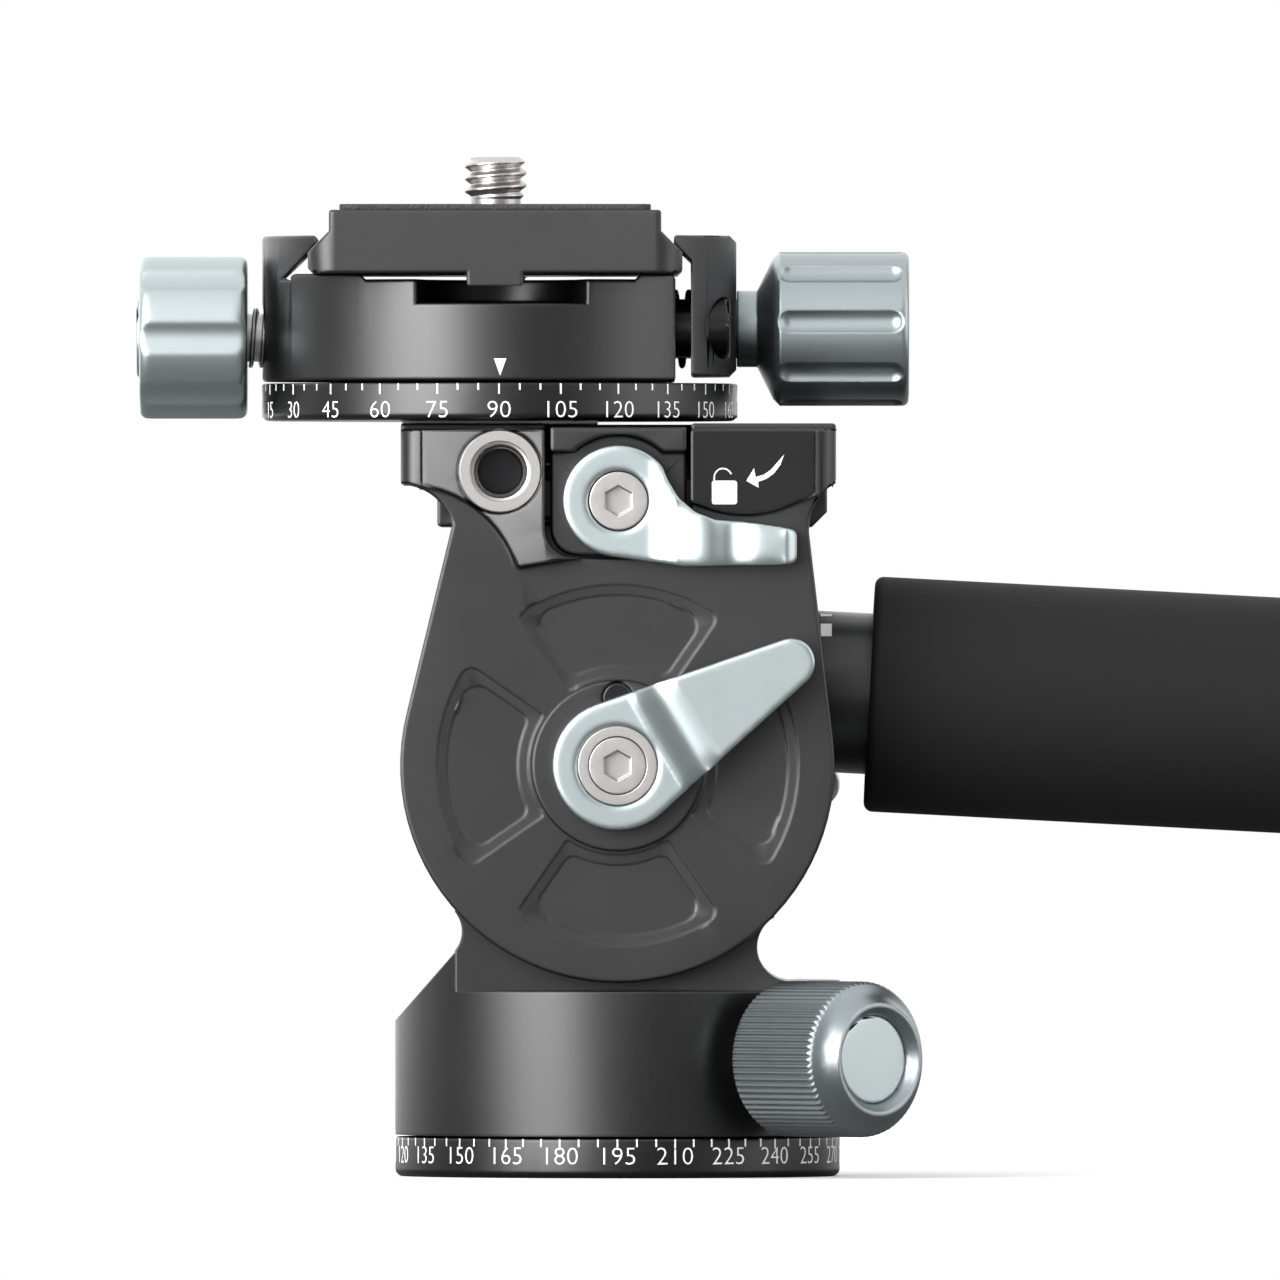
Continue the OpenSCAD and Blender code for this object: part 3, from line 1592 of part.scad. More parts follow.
// Moving jaw on its two guide pins
module clamp_jaw() {
  chamfer = edge;
  nose = moving_jaw_x - jaw_land_top + jaw_lip + plate_edge_z;
  inner_z = plate_edge_z + moving_jaw_x - moving_jaw_in;
  color("#333537")
    at_pano()
      difference() {
        intersection() {
          along_y(-clamp_r, clamp_r)
            polygon([[moving_jaw_in, moving_jaw_bottom],
                     [moving_jaw_out - chamfer, moving_jaw_bottom],
                     [moving_jaw_out, moving_jaw_bottom + chamfer],
                     [moving_jaw_out, jaw_land_top - chamfer],
                     [moving_jaw_out - chamfer, jaw_land_top],
                     [nose, jaw_land_top], [nose, jaw_land_top - jaw_lip],
                     [moving_jaw_in, inner_z]]);
          translate([moving_jaw_cx, 0, 0])
            bar_z(moving_jaw_r, clamp_bottom, jaw_land_top + cut);
        }
        translate([0, 0, clamp_screw_z]) {
          bar_x(clamp_screw_r + slide_fit, moving_jaw_in - cut, moving_jaw_out + cut);
          bar_x(jaw_spring_r + jaw_spring_wire_r + slide_fit,
                moving_jaw_in - cut, moving_jaw_in + jaw_spring_pocket);
          for (y = [-guide_pin_y, guide_pin_y])
            translate([0, y, 0])
              bar_x(guide_pin_r + fit, moving_jaw_in - cut,
                    moving_jaw_in + jaw_pin_depth + fit);
        }
      }
}

// Guide pins fixed in the moving jaw
module guide_pins() {
  color("#222324")
    at_pano()
      for (y = [-guide_pin_y, guide_pin_y])
        translate([0, y, clamp_screw_z])
          bar_x(guide_pin_r, guide_pin_from, moving_jaw_in + jaw_pin_depth);
}

// Fluted clamp knob with its neck
clamp_knob_neck_r = 3.9;
clamp_knob_neck_l = 2.1;
clamp_knob_cone_l = 2.3;
clamp_knob_l = 17.6;
clamp_knob_edge = 0.7;
flute_count = 9;
flute_r = 1.6;
flute_depth = 0.6;
flute_start = 34.8;
flute_start_x = 5.5;
flute_l = 10.3;
flute_from = moving_jaw_out + flute_start_x;
flute_to = flute_from + flute_l;
clamp_screw_in_knob = 9;
module clamp_knob() {
  radius = clamp_knob_d / 2;
  from = moving_jaw_out + jaw_gap;
  neck = from + clamp_knob_neck_l;
  end = moving_jaw_out + clamp_knob_l;
  color("#b9c1c3")
    at_pano()
      translate([0, 0, clamp_screw_z])
        difference() {
          turned_x()
            polygon(concat(
                [[0, from], [clamp_knob_neck_r, from], [clamp_knob_neck_r, neck],
                 [radius - edge, neck + clamp_knob_cone_l - edge],
                 [radius, neck + clamp_knob_cone_l]],
                arc_points([radius - clamp_knob_edge, end - clamp_knob_edge],
                           clamp_knob_edge, 0, 90, 4),
                [[0, end]]));
          for (i = [0:flute_count - 1])
            rotate([flute_start + i * 360 / flute_count, 0, 0])
              translate([0, -radius - flute_r + flute_depth, 0]) {
                bar_x(flute_r, flute_from, flute_to);
                for (x = [flute_from, flute_to])
                  translate([x, 0, 0])
                    sphere(r = flute_r);
              }
          bar_x(clamp_screw_r + fit, from - cut, from + clamp_screw_in_knob + fit);
        }
}

// Screw that the clamp knob turns in the clamp body
module clamp_screw() {
  color("#a2a4a6")
    at_pano()
      translate([0, 0, clamp_screw_z])
        bar_x(clamp_screw_r, clamp_screw_from,
              moving_jaw_out + jaw_gap + clamp_screw_in_knob);
}

// Quick-release plate, its pad and the camera screw
plate_step = 4.3;
plate_t = 6.4;
plate_flange_w = plate_w - plate_step;
plate_top = land_top + plate_t;
plate_corner_r = 2.8;
flange_corner_r = 1.4;
pad_margin = 1.05;
pad_t = 0.6;
tab_w = 5.8;
tab_l = 1.5;
tab_h = 1.3;
screw_shank_r = 2.5;
screw_head_r = 6.2;
screw_head_h = 2.4;
screw_pocket_h = 2.9;
screw_thread_from = 1.2;
screw_rise = 5.0;
screw_pocket_gap = 0.25;

// Rectangle with rounded corners round the middle
module round_rectangle(width, length, radius) {
  polygon(concat(
      arc_points([width / 2 - radius, length / 2 - radius], radius, 0, 90, 6),
      arc_points([radius - width / 2, length / 2 - radius], radius, 90, 180, 6),
      arc_points([radius - width / 2, radius - length / 2], radius, 180, 270, 6),
      arc_points([width / 2 - radius, radius - length / 2], radius, 270, 360, 6)));
}

// Moves to the middle of the plate
module at_plate() {
  translate([pano_x + plate_x, 0, 0])
    children();
}

module quick_release_plate() {
  half = plate_w / 2;
  flange = plate_flange_w / 2;
  color("#44474a")
    at_plate()
      difference() {
        union() {
          intersection() {
            along_y(-plate_l, plate_l)
              polygon([[plate_chamfer - half, land_top],
                       [half - plate_chamfer, land_top],
                       [half, land_top + plate_chamfer], [half, plate_edge_z],
                       [flange, plate_edge_z + half - flange],
                       [flange, plate_top], [-flange, plate_top],
                       [-flange, plate_edge_z + half - flange],
                       [-half, plate_edge_z], [-half, land_top + plate_chamfer]]);
            translate([0, 0, land_top])
              linear_extrude(plate_top - land_top)
                round_rectangle(plate_w, plate_l, plate_corner_r);
          }
          for (side = [0, 1])
            mirror([0, side, 0])
              translate([-tab_w / 2, -plate_l / 2, land_top - tab_h])
                cube([tab_w, tab_l, tab_h + plate_chamfer]);
        }
        bar_z(screw_head_r + screw_pocket_gap, land_top - cut, land_top + screw_pocket_h);
        bar_z(screw_shank_r + run_fit, land_top, plate_top + cut);
      }
}

// Rubber pad on the plate
module plate_pad() {
  pad_r = flange_corner_r;
  color("#2b2c2e")
    at_plate()
      difference() {
        translate([0, 0, plate_top])
          linear_extrude(pad_t)
            round_rectangle(plate_flange_w - 2 * pad_margin,
                            plate_l - 2 * pad_margin, pad_r);
        bar_z(camera_screw_d / 2 + pad_margin, plate_top - cut, plate_top + pad_t + cut);
      }
}

// Camera screw, free to turn in the plate
module camera_screw() {
  head = land_top + screw_pocket_h - screw_head_h;
  color("#a8a7a5")
    at_plate()
      difference() {
        union() {
          bar_z(screw_head_r, head - slide_fit, head + screw_head_h - slide_fit);
          bar_z(screw_shank_r, head, plate_top + pad_t + screw_thread_from);
          bar_z(camera_screw_d / 2, plate_top + pad_t + screw_thread_from,
                plate_top + pad_t + screw_rise);
        }
        translate([-screw_head_r, -pad_t, head - cut])
          cube([2 * screw_head_r, 2 * pad_t, cut + hex_depth]);
      }
}

base_ring();
tripod_insert();
pan_spindle();
spindle_screws();
pan_body();
pan_retainer_ring();
pan_thrust_washers();
tilt_bushes();
damper_lid();
damper_stators();
pan_brake_shoe();
pan_knob();
pan_lock_screw();
pan_knob_cap();
front_cheek();
rear_cheek();
top_bridge();
handle_bracket();
frame_bolts();
tilt_axle();
damper_rotor();
tilt_friction_washers();
hub_flanges();
hub_flange_screws();
accessory_insert();
handle_pivot();
handle_tube();
handle_grip();
handle_end_cap();
tilt_lock_lever();
tilt_lock_washer();
tilt_lock_screw();
tilt_drag_lever();
tilt_drag_washer();
tilt_drag_screw();
slide_jaw();
slide_lock_lever();
slide_lock_screw();
slide_rail();
rail_screws();
pano_ring();
pano_drum();
slide_stop_pin();
pano_bolt();
clamp_body();
pano_knob_spring();
pano_brake_shoe();
pano_knob();
pano_lock_screw();
pano_knob_cap();
jaw_spring();
clamp_jaw();
guide_pins();
clamp_knob();
clamp_screw();
quick_release_plate();
plate_pad();
camera_screw();
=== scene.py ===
# %% [markdown]
# # A fluid video head in Blender
#
# The real object is a small machine of anodised aluminium: a round base with a degree scale, a
# body that turns on it, two teardrop cheeks that tilt, and a clamp on a slide that holds a camera
# plate. The exact solids were made in a CAD program. This lesson dresses them: it rounds their
# edges, gives each metal its finish, and adds what is too fine for the solids, such as scales,
# numbers, threads and springs.
#
# Everything is in metres, and `frame` holds the CAD bodies, nodes and joints.

# %% Load the solids
import json
import math

import bmesh
import bpy
from mathutils import Matrix, Vector


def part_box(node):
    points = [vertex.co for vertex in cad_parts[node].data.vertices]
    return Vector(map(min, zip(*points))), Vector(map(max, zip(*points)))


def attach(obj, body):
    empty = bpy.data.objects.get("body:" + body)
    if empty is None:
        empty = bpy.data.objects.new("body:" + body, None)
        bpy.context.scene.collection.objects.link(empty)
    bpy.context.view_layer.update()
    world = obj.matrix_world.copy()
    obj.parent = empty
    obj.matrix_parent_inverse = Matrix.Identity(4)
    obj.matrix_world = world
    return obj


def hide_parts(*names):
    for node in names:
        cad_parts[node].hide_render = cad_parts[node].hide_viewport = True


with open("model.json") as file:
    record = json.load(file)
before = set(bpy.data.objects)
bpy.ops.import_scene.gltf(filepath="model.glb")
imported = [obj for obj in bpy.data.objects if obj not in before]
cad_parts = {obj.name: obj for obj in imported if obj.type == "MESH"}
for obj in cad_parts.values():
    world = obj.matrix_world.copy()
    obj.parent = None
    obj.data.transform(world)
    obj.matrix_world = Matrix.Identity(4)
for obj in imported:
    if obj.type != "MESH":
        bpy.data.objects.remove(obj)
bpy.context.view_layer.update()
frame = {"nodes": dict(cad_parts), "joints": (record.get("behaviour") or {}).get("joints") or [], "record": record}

MM = 0.001
INCH = 25.4 * MM


# %% [markdown]
# ## The camera
#
# A product picture like this one is taken with a very long lens from far away, so that circles
# seen from the side stay flat and nothing is larger for being nearer. An orthographic camera would
# do the same; this one uses a long lens instead. The camera stands in
# front of the head, level with its middle, and looks along +Y.

# %% How the picture measures the object
PICTURE_SIZE = 1280                  # pixels, both ways
PIXELS_PER_MM = 9.81
AXIS_PIXEL, GROUND_PIXEL = 617.5, 1175.5    # where the turning axis and the ground lie in it


def on_picture(across, down):
    """Millimetres in the front view for a place in the picture, given in pixels."""
    return (across - AXIS_PIXEL) / PIXELS_PER_MM, (GROUND_PIXEL - down) / PIXELS_PER_MM


FRAME_WIDTH = PICTURE_SIZE / PIXELS_PER_MM * MM
print("the picture is", round(FRAME_WIDTH / MM, 1), "mm wide")

# %% Place the camera
centre_x, centre_z = on_picture(PICTURE_SIZE / 2, PICTURE_SIZE / 2)
LOOK_AT = Vector((centre_x * MM, 0, centre_z * MM))

camera_data = bpy.data.cameras.new("front_camera")
camera_data.lens = 1200
camera_data.sensor_width = 36
distance = FRAME_WIDTH * camera_data.lens / camera_data.sensor_width
camera_data.clip_start = 0.1
camera_data.clip_end = 100
camera = bpy.data.objects.new("front_camera", camera_data)
bpy.context.scene.collection.objects.link(camera)
camera.location = LOOK_AT + Vector((0, -distance, 0))
camera.rotation_euler = (math.radians(90), 0, 0)
bpy.context.scene.camera = camera
print("the camera stands", round(distance, 2), "m away")


# %% [markdown]
# ## Light and floor
#
# Dark metal shows its surroundings more than its own colour, so the light decides the look. A
# turned body mirrors its surroundings as upright bands: the bands on this head show a bright soft
# box in front at the left, a dark card in front at the right and a weaker box far to the right. So
# the surroundings are painted as such a studio, by compass direction first, and then with a dim
# lower half and an even grey ceiling. The view transform stays plain, so that white stays white.

# %% Helpers that add nodes to any tree
def grey(value):
    """A grey colour."""
    return (value, value, value, 1)


def math_node(tree, kind, *sources):
    """The result of a Math node, whose sources are sockets to link or numbers to set."""
    node = tree.nodes.new("ShaderNodeMath")
    node.operation = kind
    for socket, source in zip(node.inputs, sources):
        if isinstance(source, (int, float)):
            socket.default_value = source
        else:
            tree.links.new(source, socket)
    return node.outputs[0]


def linked_node(tree, kind, sources):
    """A new node with a socket linked to each of its inputs that is named."""
    node = tree.nodes.new(kind)
    for label, source in sources.items():
        tree.links.new(source, node.inputs[label])
    return node


def ramp_node(tree, stops, source):
    """The colour of a ramp of grey stops, given as (position, value)."""
    node = tree.nodes.new("ShaderNodeValToRGB")
    ramp = node.color_ramp
    while len(ramp.elements) < len(stops):
        ramp.elements.new(0.5)
    for element, (place, value) in zip(ramp.elements, stops):
        element.position = place
        element.color = grey(value)
    tree.links.new(source, node.inputs["Fac"])
    return node.outputs["Color"]


def multiplied(tree, first, second):
    """The product of two colours: the first a socket or a plain colour, the second a socket."""
    node = tree.nodes.new("ShaderNodeMix")
    node.data_type = "RGBA"
    node.blend_type = "MULTIPLY"
    node.inputs["Factor"].default_value = 1
    if isinstance(first, tuple):
        node.inputs["A"].default_value = first
    else:
        tree.links.new(first, node.inputs["A"])
    tree.links.new(second, node.inputs["B"])
    return node.outputs["Result"]


# %% Upright bands of light and dark round the head
scene = bpy.context.scene
scene.view_settings.view_transform = "Standard"
scene.view_settings.look = "None"

# compass direction in degrees, 0 towards the camera and plus to its right, and brightness
BANDS = [(-180, 1.6), (-140, 1.8), (-112, 1.3), (-92, 0.45), (-74, 0.9), (-60, 5.5), (-50, 11.5),
         (-27, 11.5), (-17, 3.4), (-8, 1.1), (2, 0.8), (10, 0.42), (34, 0.42), (48, 0.9),
         (64, 2.4), (88, 2.4), (102, 1.0), (126, 0.8), (152, 1.2), (180, 1.6)]
BRIGHTEST = 12

# height of the direction, from 0 straight down through 0.5 level to 1 straight up, and share
DIM_BELOW = [(0.38, 0.3), (0.48, 1)]
CEILING = [(0.72, 0), (0.87, 1)]
CEILING_VALUE = 0.11

world = bpy.data.worlds.new("studio")
scene.world = world
world.use_nodes = True
sky = world.node_tree
sky.nodes.clear()

direction = sky.nodes.new("ShaderNodeTexCoord")
parts = sky.nodes.new("ShaderNodeSeparateXYZ")
sky.links.new(direction.outputs["Generated"], parts.inputs[0])
towards = math_node(sky, "MULTIPLY", parts.outputs["Y"], -1)
compass = math_node(sky, "ARCTAN2", parts.outputs["X"], towards)
around = math_node(sky, "MULTIPLY_ADD", compass, 1 / math.tau, 0.5)
bands = ramp_node(sky, [(degrees / 360 + 0.5, v / BRIGHTEST) for degrees, v in BANDS], around)
up = math_node(sky, "MULTIPLY_ADD", parts.outputs["Z"], 0.5, 0.5)
walls = multiplied(sky, bands, ramp_node(sky, DIM_BELOW, up))
room = sky.nodes.new("ShaderNodeMix")
room.data_type = "RGBA"
room.inputs["B"].default_value = grey(CEILING_VALUE)
sky.links.new(ramp_node(sky, CEILING, up), room.inputs["Factor"])
sky.links.new(walls, room.inputs["A"])
print("bands of light:", len(BANDS))


# %% The camera sees white behind the head, and the metal sees the bands
def by_camera(tree, seen, lit, surface):
    """Gives the camera one shader and all other rays another, at the surface socket."""
    path = tree.nodes.new("ShaderNodeLightPath")
    choice = tree.nodes.new("ShaderNodeMixShader")
    tree.links.new(path.outputs["Is Camera Ray"], choice.inputs["Fac"])
    tree.links.new(lit.outputs[0], choice.inputs[1])
    tree.links.new(seen.outputs[0], choice.inputs[2])
    tree.links.new(choice.outputs[0], surface)


sky_seen = sky.nodes.new("ShaderNodeBackground")
sky_seen.inputs["Color"].default_value = grey(1)
sky_lit = sky.nodes.new("ShaderNodeBackground")
sky_lit.inputs["Strength"].default_value = BRIGHTEST
sky.links.new(room.outputs["Result"], sky_lit.inputs["Color"])
by_camera(sky, sky_seen, sky_lit, sky.nodes.new("ShaderNodeOutputWorld").inputs["Surface"])
print("surroundings:", len(sky.nodes), "nodes")


# %% A pale floor that isn't part of the object, dimmer to the metal than to the camera
FLOOR_RADIUS = 400 * MM
FLOOR_DROP = 0.02 * MM
FLOOR_TONES = [(0, 0.92), (1, 0.95)]

floor_mesh = bpy.data.meshes.new("floor")
disc = bmesh.new()
bmesh.ops.create_circle(disc, cap_ends=True, radius=FLOOR_RADIUS, segments=96)
disc.to_mesh(floor_mesh)
disc.free()
floor = bpy.data.objects.new("floor", floor_mesh)
scene.collection.objects.link(floor)
floor.location.z = -FLOOR_DROP


def start_material(name):
    """A new material, its node tree and its Principled shader."""
    mat = bpy.data.materials.new(name)
    mat.use_nodes = True
    return mat, mat.node_tree, mat.node_tree.nodes["Principled BSDF"]


floor_mat, floor_tree, pale = start_material("pale_floor")
pale.inputs["Roughness"].default_value = 0.9
floor_noise = floor_tree.nodes.new("ShaderNodeTexNoise")
floor_noise.inputs["Scale"].default_value = 3
floor_colour = ramp_node(floor_tree, FLOOR_TONES, floor_noise.outputs["Fac"])
floor_tree.links.new(floor_colour, pale.inputs["Base Color"])
dim = floor_tree.nodes.new("ShaderNodeBsdfDiffuse")
dim.inputs["Color"].default_value = grey(0.17)
by_camera(floor_tree, pale, dim, floor_tree.nodes["Material Output"].inputs["Surface"])
floor_mesh.materials.append(floor_mat)
print("floor laid")


# %% [markdown]
# ## Effects that several finishes share
#
# Real metal parts are never one flat colour. Bead-blasted and anodised aluminium has a very fine
# grain, its sharp edges are rubbed a little lighter and here also carry a painted highlight, and a
# turned face carries fine rings from the tool. Each of these effects is a small node group with
# named inputs, built once and placed in each material with its own values.

# %% A helper that starts a node group
def new_group(name, inputs, outputs, kind="ShaderNodeTree"):
    """A node group with its input and output nodes: inputs are (name, kind, value)."""
    group = bpy.data.node_groups.new(name, kind)
    for label, sort, value in inputs:
        made = group.interface.new_socket(label, in_out="INPUT", socket_type="NodeSocket" + sort)
        if value is not None:
            made.default_value = value
    for label, sort in outputs:
        group.interface.new_socket(label, in_out="OUTPUT", socket_type="NodeSocket" + sort)
    return group, group.nodes.new("NodeGroupInput"), group.nodes.new("NodeGroupOutput")


# %% Edge rubbing and painted highlight: where the rounded normal leaves the real one, an edge is near and turns lighter
BEVEL_SAMPLES = 4
RUB_HIGHLIGHT_GAIN = 9       # how fast rubbing and painted highlight grow as the two normals part

edge_group, g_in, g_out = new_group(
    "edge_rub_and_highlight",
    [("Base", "Color", grey(0.1)), ("Rub and highlight", "Color", grey(0.5)),
     ("Width", "Float", 0.3 * MM), ("Amount", "Float", 0.5)],
    [("Color", "Color")])
g = edge_group
bevel = linked_node(g, "ShaderNodeBevel", {"Radius": g_in.outputs["Width"]})
bevel.samples = BEVEL_SAMPLES
geometry = g.nodes.new("ShaderNodeNewGeometry")
dot = g.nodes.new("ShaderNodeVectorMath")
dot.operation = "DOT_PRODUCT"
coord = g.nodes.new("ShaderNodeTexCoord")
spots = linked_node(g, "ShaderNodeTexNoise", {"Vector": coord.outputs["Object"]})
spots.inputs["Scale"].default_value = 450
spots.inputs["Detail"].default_value = 3
mix = g.nodes.new("ShaderNodeMix")
mix.data_type = "RGBA"
g.links.new(bevel.outputs[0], dot.inputs[0])
g.links.new(geometry.outputs["Normal"], dot.inputs[1])
away = math_node(g, "SUBTRACT", 1, dot.outputs["Value"])
strong = math_node(g, "MULTIPLY", away, RUB_HIGHLIGHT_GAIN)
rub_highlight_mask = math_node(g, "MULTIPLY", strong, spots.outputs["Fac"])
scaled = math_node(g, "MULTIPLY", rub_highlight_mask, g_in.outputs["Amount"])
# near an edge the colour turns lighter: rubbed wear and a painted highlight
g.links.new(math_node(g, "MINIMUM", scaled, 1), mix.inputs["Factor"])
g.links.new(g_in.outputs["Base"], mix.inputs["A"])
g.links.new(g_in.outputs["Rub and highlight"], mix.inputs["B"])
g.links.new(mix.outputs["Result"], g_out.inputs["Color"])
print("group made:", edge_group.name)


# %% Blasted grain: fine speckle for colour, roughness and bump
grain_group, g_in, g_out = new_group(
    "blasted_grain",
    [("Scale", "Float", 4000), ("Colour change", "Float", 0.1), ("Roughness", "Float", 0.4),
     ("Roughness change", "Float", 0.1)],
    [("Tone", "Float"), ("Roughness", "Float"), ("Height", "Float")])
g = grain_group
coord = g.nodes.new("ShaderNodeTexCoord")
fine = linked_node(g, "ShaderNodeTexNoise",
                   {"Vector": coord.outputs["Object"], "Scale": g_in.outputs["Scale"]})
fine.inputs["Detail"].default_value = 2
cloud = linked_node(g, "ShaderNodeTexNoise", {"Vector": coord.outputs["Object"]})
cloud.inputs["Scale"].default_value = 70
cloud.inputs["Detail"].default_value = 3
both = math_node(g, "ADD", fine.outputs["Fac"], cloud.outputs["Fac"])
centred = math_node(g, "SUBTRACT", both, 1)
tone = math_node(g, "MULTIPLY", centred, g_in.outputs["Colour change"])
rough = math_node(g, "MULTIPLY", centred, g_in.outputs["Roughness change"])
g.links.new(math_node(g, "ADD", tone, 1), g_out.inputs["Tone"])
g.links.new(math_node(g, "ADD", rough, g_in.outputs["Roughness"]), g_out.inputs["Roughness"])
g.links.new(fine.outputs["Fac"], g_out.inputs["Height"])
print("group made:", grain_group.name)


# %% Tool rings: fine shells round the object's origin, for turned faces
rings_group, g_in, g_out = new_group(
    "tool_rings",
    [("Spacing", "Float", 0.08 * MM), ("Strength", "Float", 0.5)],
    [("Height", "Float")])
g = rings_group
coord = g.nodes.new("ShaderNodeTexCoord")
length = g.nodes.new("ShaderNodeVectorMath")
length.operation = "LENGTH"
waver = g.nodes.new("ShaderNodeTexNoise")
waver.noise_dimensions = "1D"
waver.inputs["Detail"].default_value = 2
waver.inputs["Scale"].default_value = 1
g.links.new(coord.outputs["Object"], length.inputs[0])
steps = math_node(g, "DIVIDE", length.outputs["Value"], g_in.outputs["Spacing"])
g.links.new(steps, waver.inputs["W"])
high = math_node(g, "MULTIPLY", waver.outputs["Fac"], g_in.outputs["Strength"])
g.links.new(high, g_out.inputs["Height"])
print("group made:", rings_group.name)


# %% [markdown]
# ## Finishes
#
# Every finish is a Principled shader with plain numbers on its own sockets, and colour, roughness
# and bump that vary over the surface through the groups. One function builds the metal ones,
# because they differ only in colour, grain and how far their edges are rubbed and lit with a painted highlight.

# %% Helpers that place the groups in a material
def use_group(tree, group, values):
    """A node group placed in a tree with its own values, given by the names of its inputs."""
    node = tree.nodes.new("ShaderNodeGroup")
    node.node_tree = group
    for label, value in values.items():
        node.inputs[label].default_value = value
    return node


def add_grain(tree, shader, colour, rough, change, scale):
    """Speckles the shader's colour and roughness, and gives back the height of the grain."""
    blast = use_group(tree, grain_group, {"Scale": scale, "Colour change": change, "Roughness": rough})
    speckled = multiplied(tree, colour, blast.outputs["Tone"])
    tree.links.new(speckled, shader.inputs["Base Color"])
    tree.links.new(blast.outputs["Roughness"], shader.inputs["Roughness"])
    return blast.outputs["Height"]


def add_relief(tree, shader, height, strength, depth):
    """Bumps the shader's normal by a height, and gives back the Bump node."""
    relief = tree.nodes.new("ShaderNodeBump")
    relief.inputs["Strength"].default_value = strength
    relief.inputs["Distance"].default_value = depth
    tree.links.new(height, relief.inputs["Height"])
    tree.links.new(relief.outputs["Normal"], shader.inputs["Normal"])
    return relief


# %% Metal finishes
METAL_GRAIN = 4000          # speckles along a metre
METAL_DEPTH = 0.02 * MM
RUB_AND_HIGHLIGHT_LIGHTENING = 2.2             # how much lighter an edge is from rubbing and painted highlight, where no colour is given


def metal(name, colour, rough, bump=0.05, rub_highlight_colour=None, rub_and_highlight=0.4, width=0.3 * MM, tone=0.12,
          rings=None):
    """A metal with blasted grain and edges lightened by rubbing and a painted highlight; rings adds turned circles
    of that spacing.
    """
    mat, tree, shader = start_material(name)
    shader.inputs["Metallic"].default_value = 1
    # the edge colour, lighter from rubbing and as a painted highlight
    rub_highlight_colour = rub_highlight_colour or [min(1, RUB_AND_HIGHLIGHT_LIGHTENING * c) for c in colour]
    edges = use_group(tree, edge_group, {"Base": (*colour, 1), "Rub and highlight": (*rub_highlight_colour, 1), "Width": width,
                                         "Amount": rub_and_highlight})
    height = add_grain(tree, shader, edges.outputs["Color"], rough, tone, METAL_GRAIN)
    if rings:
        turned_face = use_group(tree, rings_group, {"Spacing": rings})
        height = math_node(tree, "ADD", height, turned_face.outputs["Height"])
    relief = add_relief(tree, shader, height, bump, METAL_DEPTH)
    soft_edge = tree.nodes.new("ShaderNodeBevel")
    soft_edge.samples = BEVEL_SAMPLES
    soft_edge.inputs["Radius"].default_value = width
    tree.links.new(soft_edge.outputs["Normal"], relief.inputs["Normal"])
    return mat


# edge colour of the pale parts, lighter from rubbing and as a painted highlight
LIGHT_EDGE = (0.75, 0.8, 0.82)
finishes = {
    "black_metal": metal("black_anodised", (0.062, 0.062, 0.062), 0.36, bump=0.12, rub_and_highlight=0.5),
    "black_scale_ring": metal("black_scale_ring", (0.055, 0.055, 0.055), 0.32, bump=0.1),
    "silver_lever": metal("silver_blasted", (0.44, 0.495, 0.505), 0.36, bump=0.08,
                          rub_highlight_colour=LIGHT_EDGE, rub_and_highlight=0.35, tone=0.06),
    "grey_knurl": metal("grey_knurl", (0.30, 0.335, 0.35), 0.34, rub_highlight_colour=(0.6, 0.65, 0.67)),
    # the clamp knob's darker copy of the lever finish: painted shade
    "shaded_flute_grey": metal("shaded_flute_grey", (0.32, 0.36, 0.37), 0.36, bump=0.08,
                         rub_highlight_colour=LIGHT_EDGE, rub_and_highlight=0.35, tone=0.06),
    "plate_metal": metal("plate_anodised", (0.064, 0.064, 0.064), 0.42, bump=0.2, rub_and_highlight=0.5),
    "inner_metal": metal("bare_aluminium", (0.62, 0.63, 0.64), 0.3, rings=0.12 * MM),
    "steel": metal("nickel_steel", (0.5, 0.485, 0.47), 0.34, bump=0.04, rub_and_highlight=0.3,
                   rub_highlight_colour=(0.8, 0.79, 0.77), width=0.06 * MM),
    "black_steel": metal("blacked_steel", (0.03, 0.03, 0.032), 0.3, rub_and_highlight=0.6,
                         rub_highlight_colour=(0.25, 0.25, 0.25)),
    "spring_steel": metal("spring_wire", (0.5, 0.51, 0.52), 0.2, rub_and_highlight=0.0),
    "brass": metal("brass", (0.72, 0.52, 0.22), 0.3, rings=0.15 * MM),
}
print("metals:", sorted(finishes))


# %% [markdown]
# The grip is closed-cell foam rubber: matt, nearly black, with a fine skin of pores. The plate's
# pad is a thin rubber with a coarser tooth. The slip washers are milky plastic and the scales are
# filled with white paint. None of them is a metal, so they get a second function.

# %% Soft and printed finishes
def soft(name, colour, rough, pore=2500, bump=0.3, depth=0.04 * MM, change=0.25, gloss=0.5):
    """A matt material with this many pores along a metre, and a cloudy change of tone."""
    mat, tree, shader = start_material(name)
    shader.inputs["Specular IOR Level"].default_value = gloss
    coord = tree.nodes.new("ShaderNodeTexCoord")
    pores = tree.nodes.new("ShaderNodeTexVoronoi")
    pores.inputs["Scale"].default_value = pore
    tree.links.new(coord.outputs["Object"], pores.inputs["Vector"])
    grain = add_grain(tree, shader, (*colour, 1), rough, change, pore)
    height = math_node(tree, "ADD", pores.outputs["Distance"], grain)
    add_relief(tree, shader, height, bump, depth)
    return mat


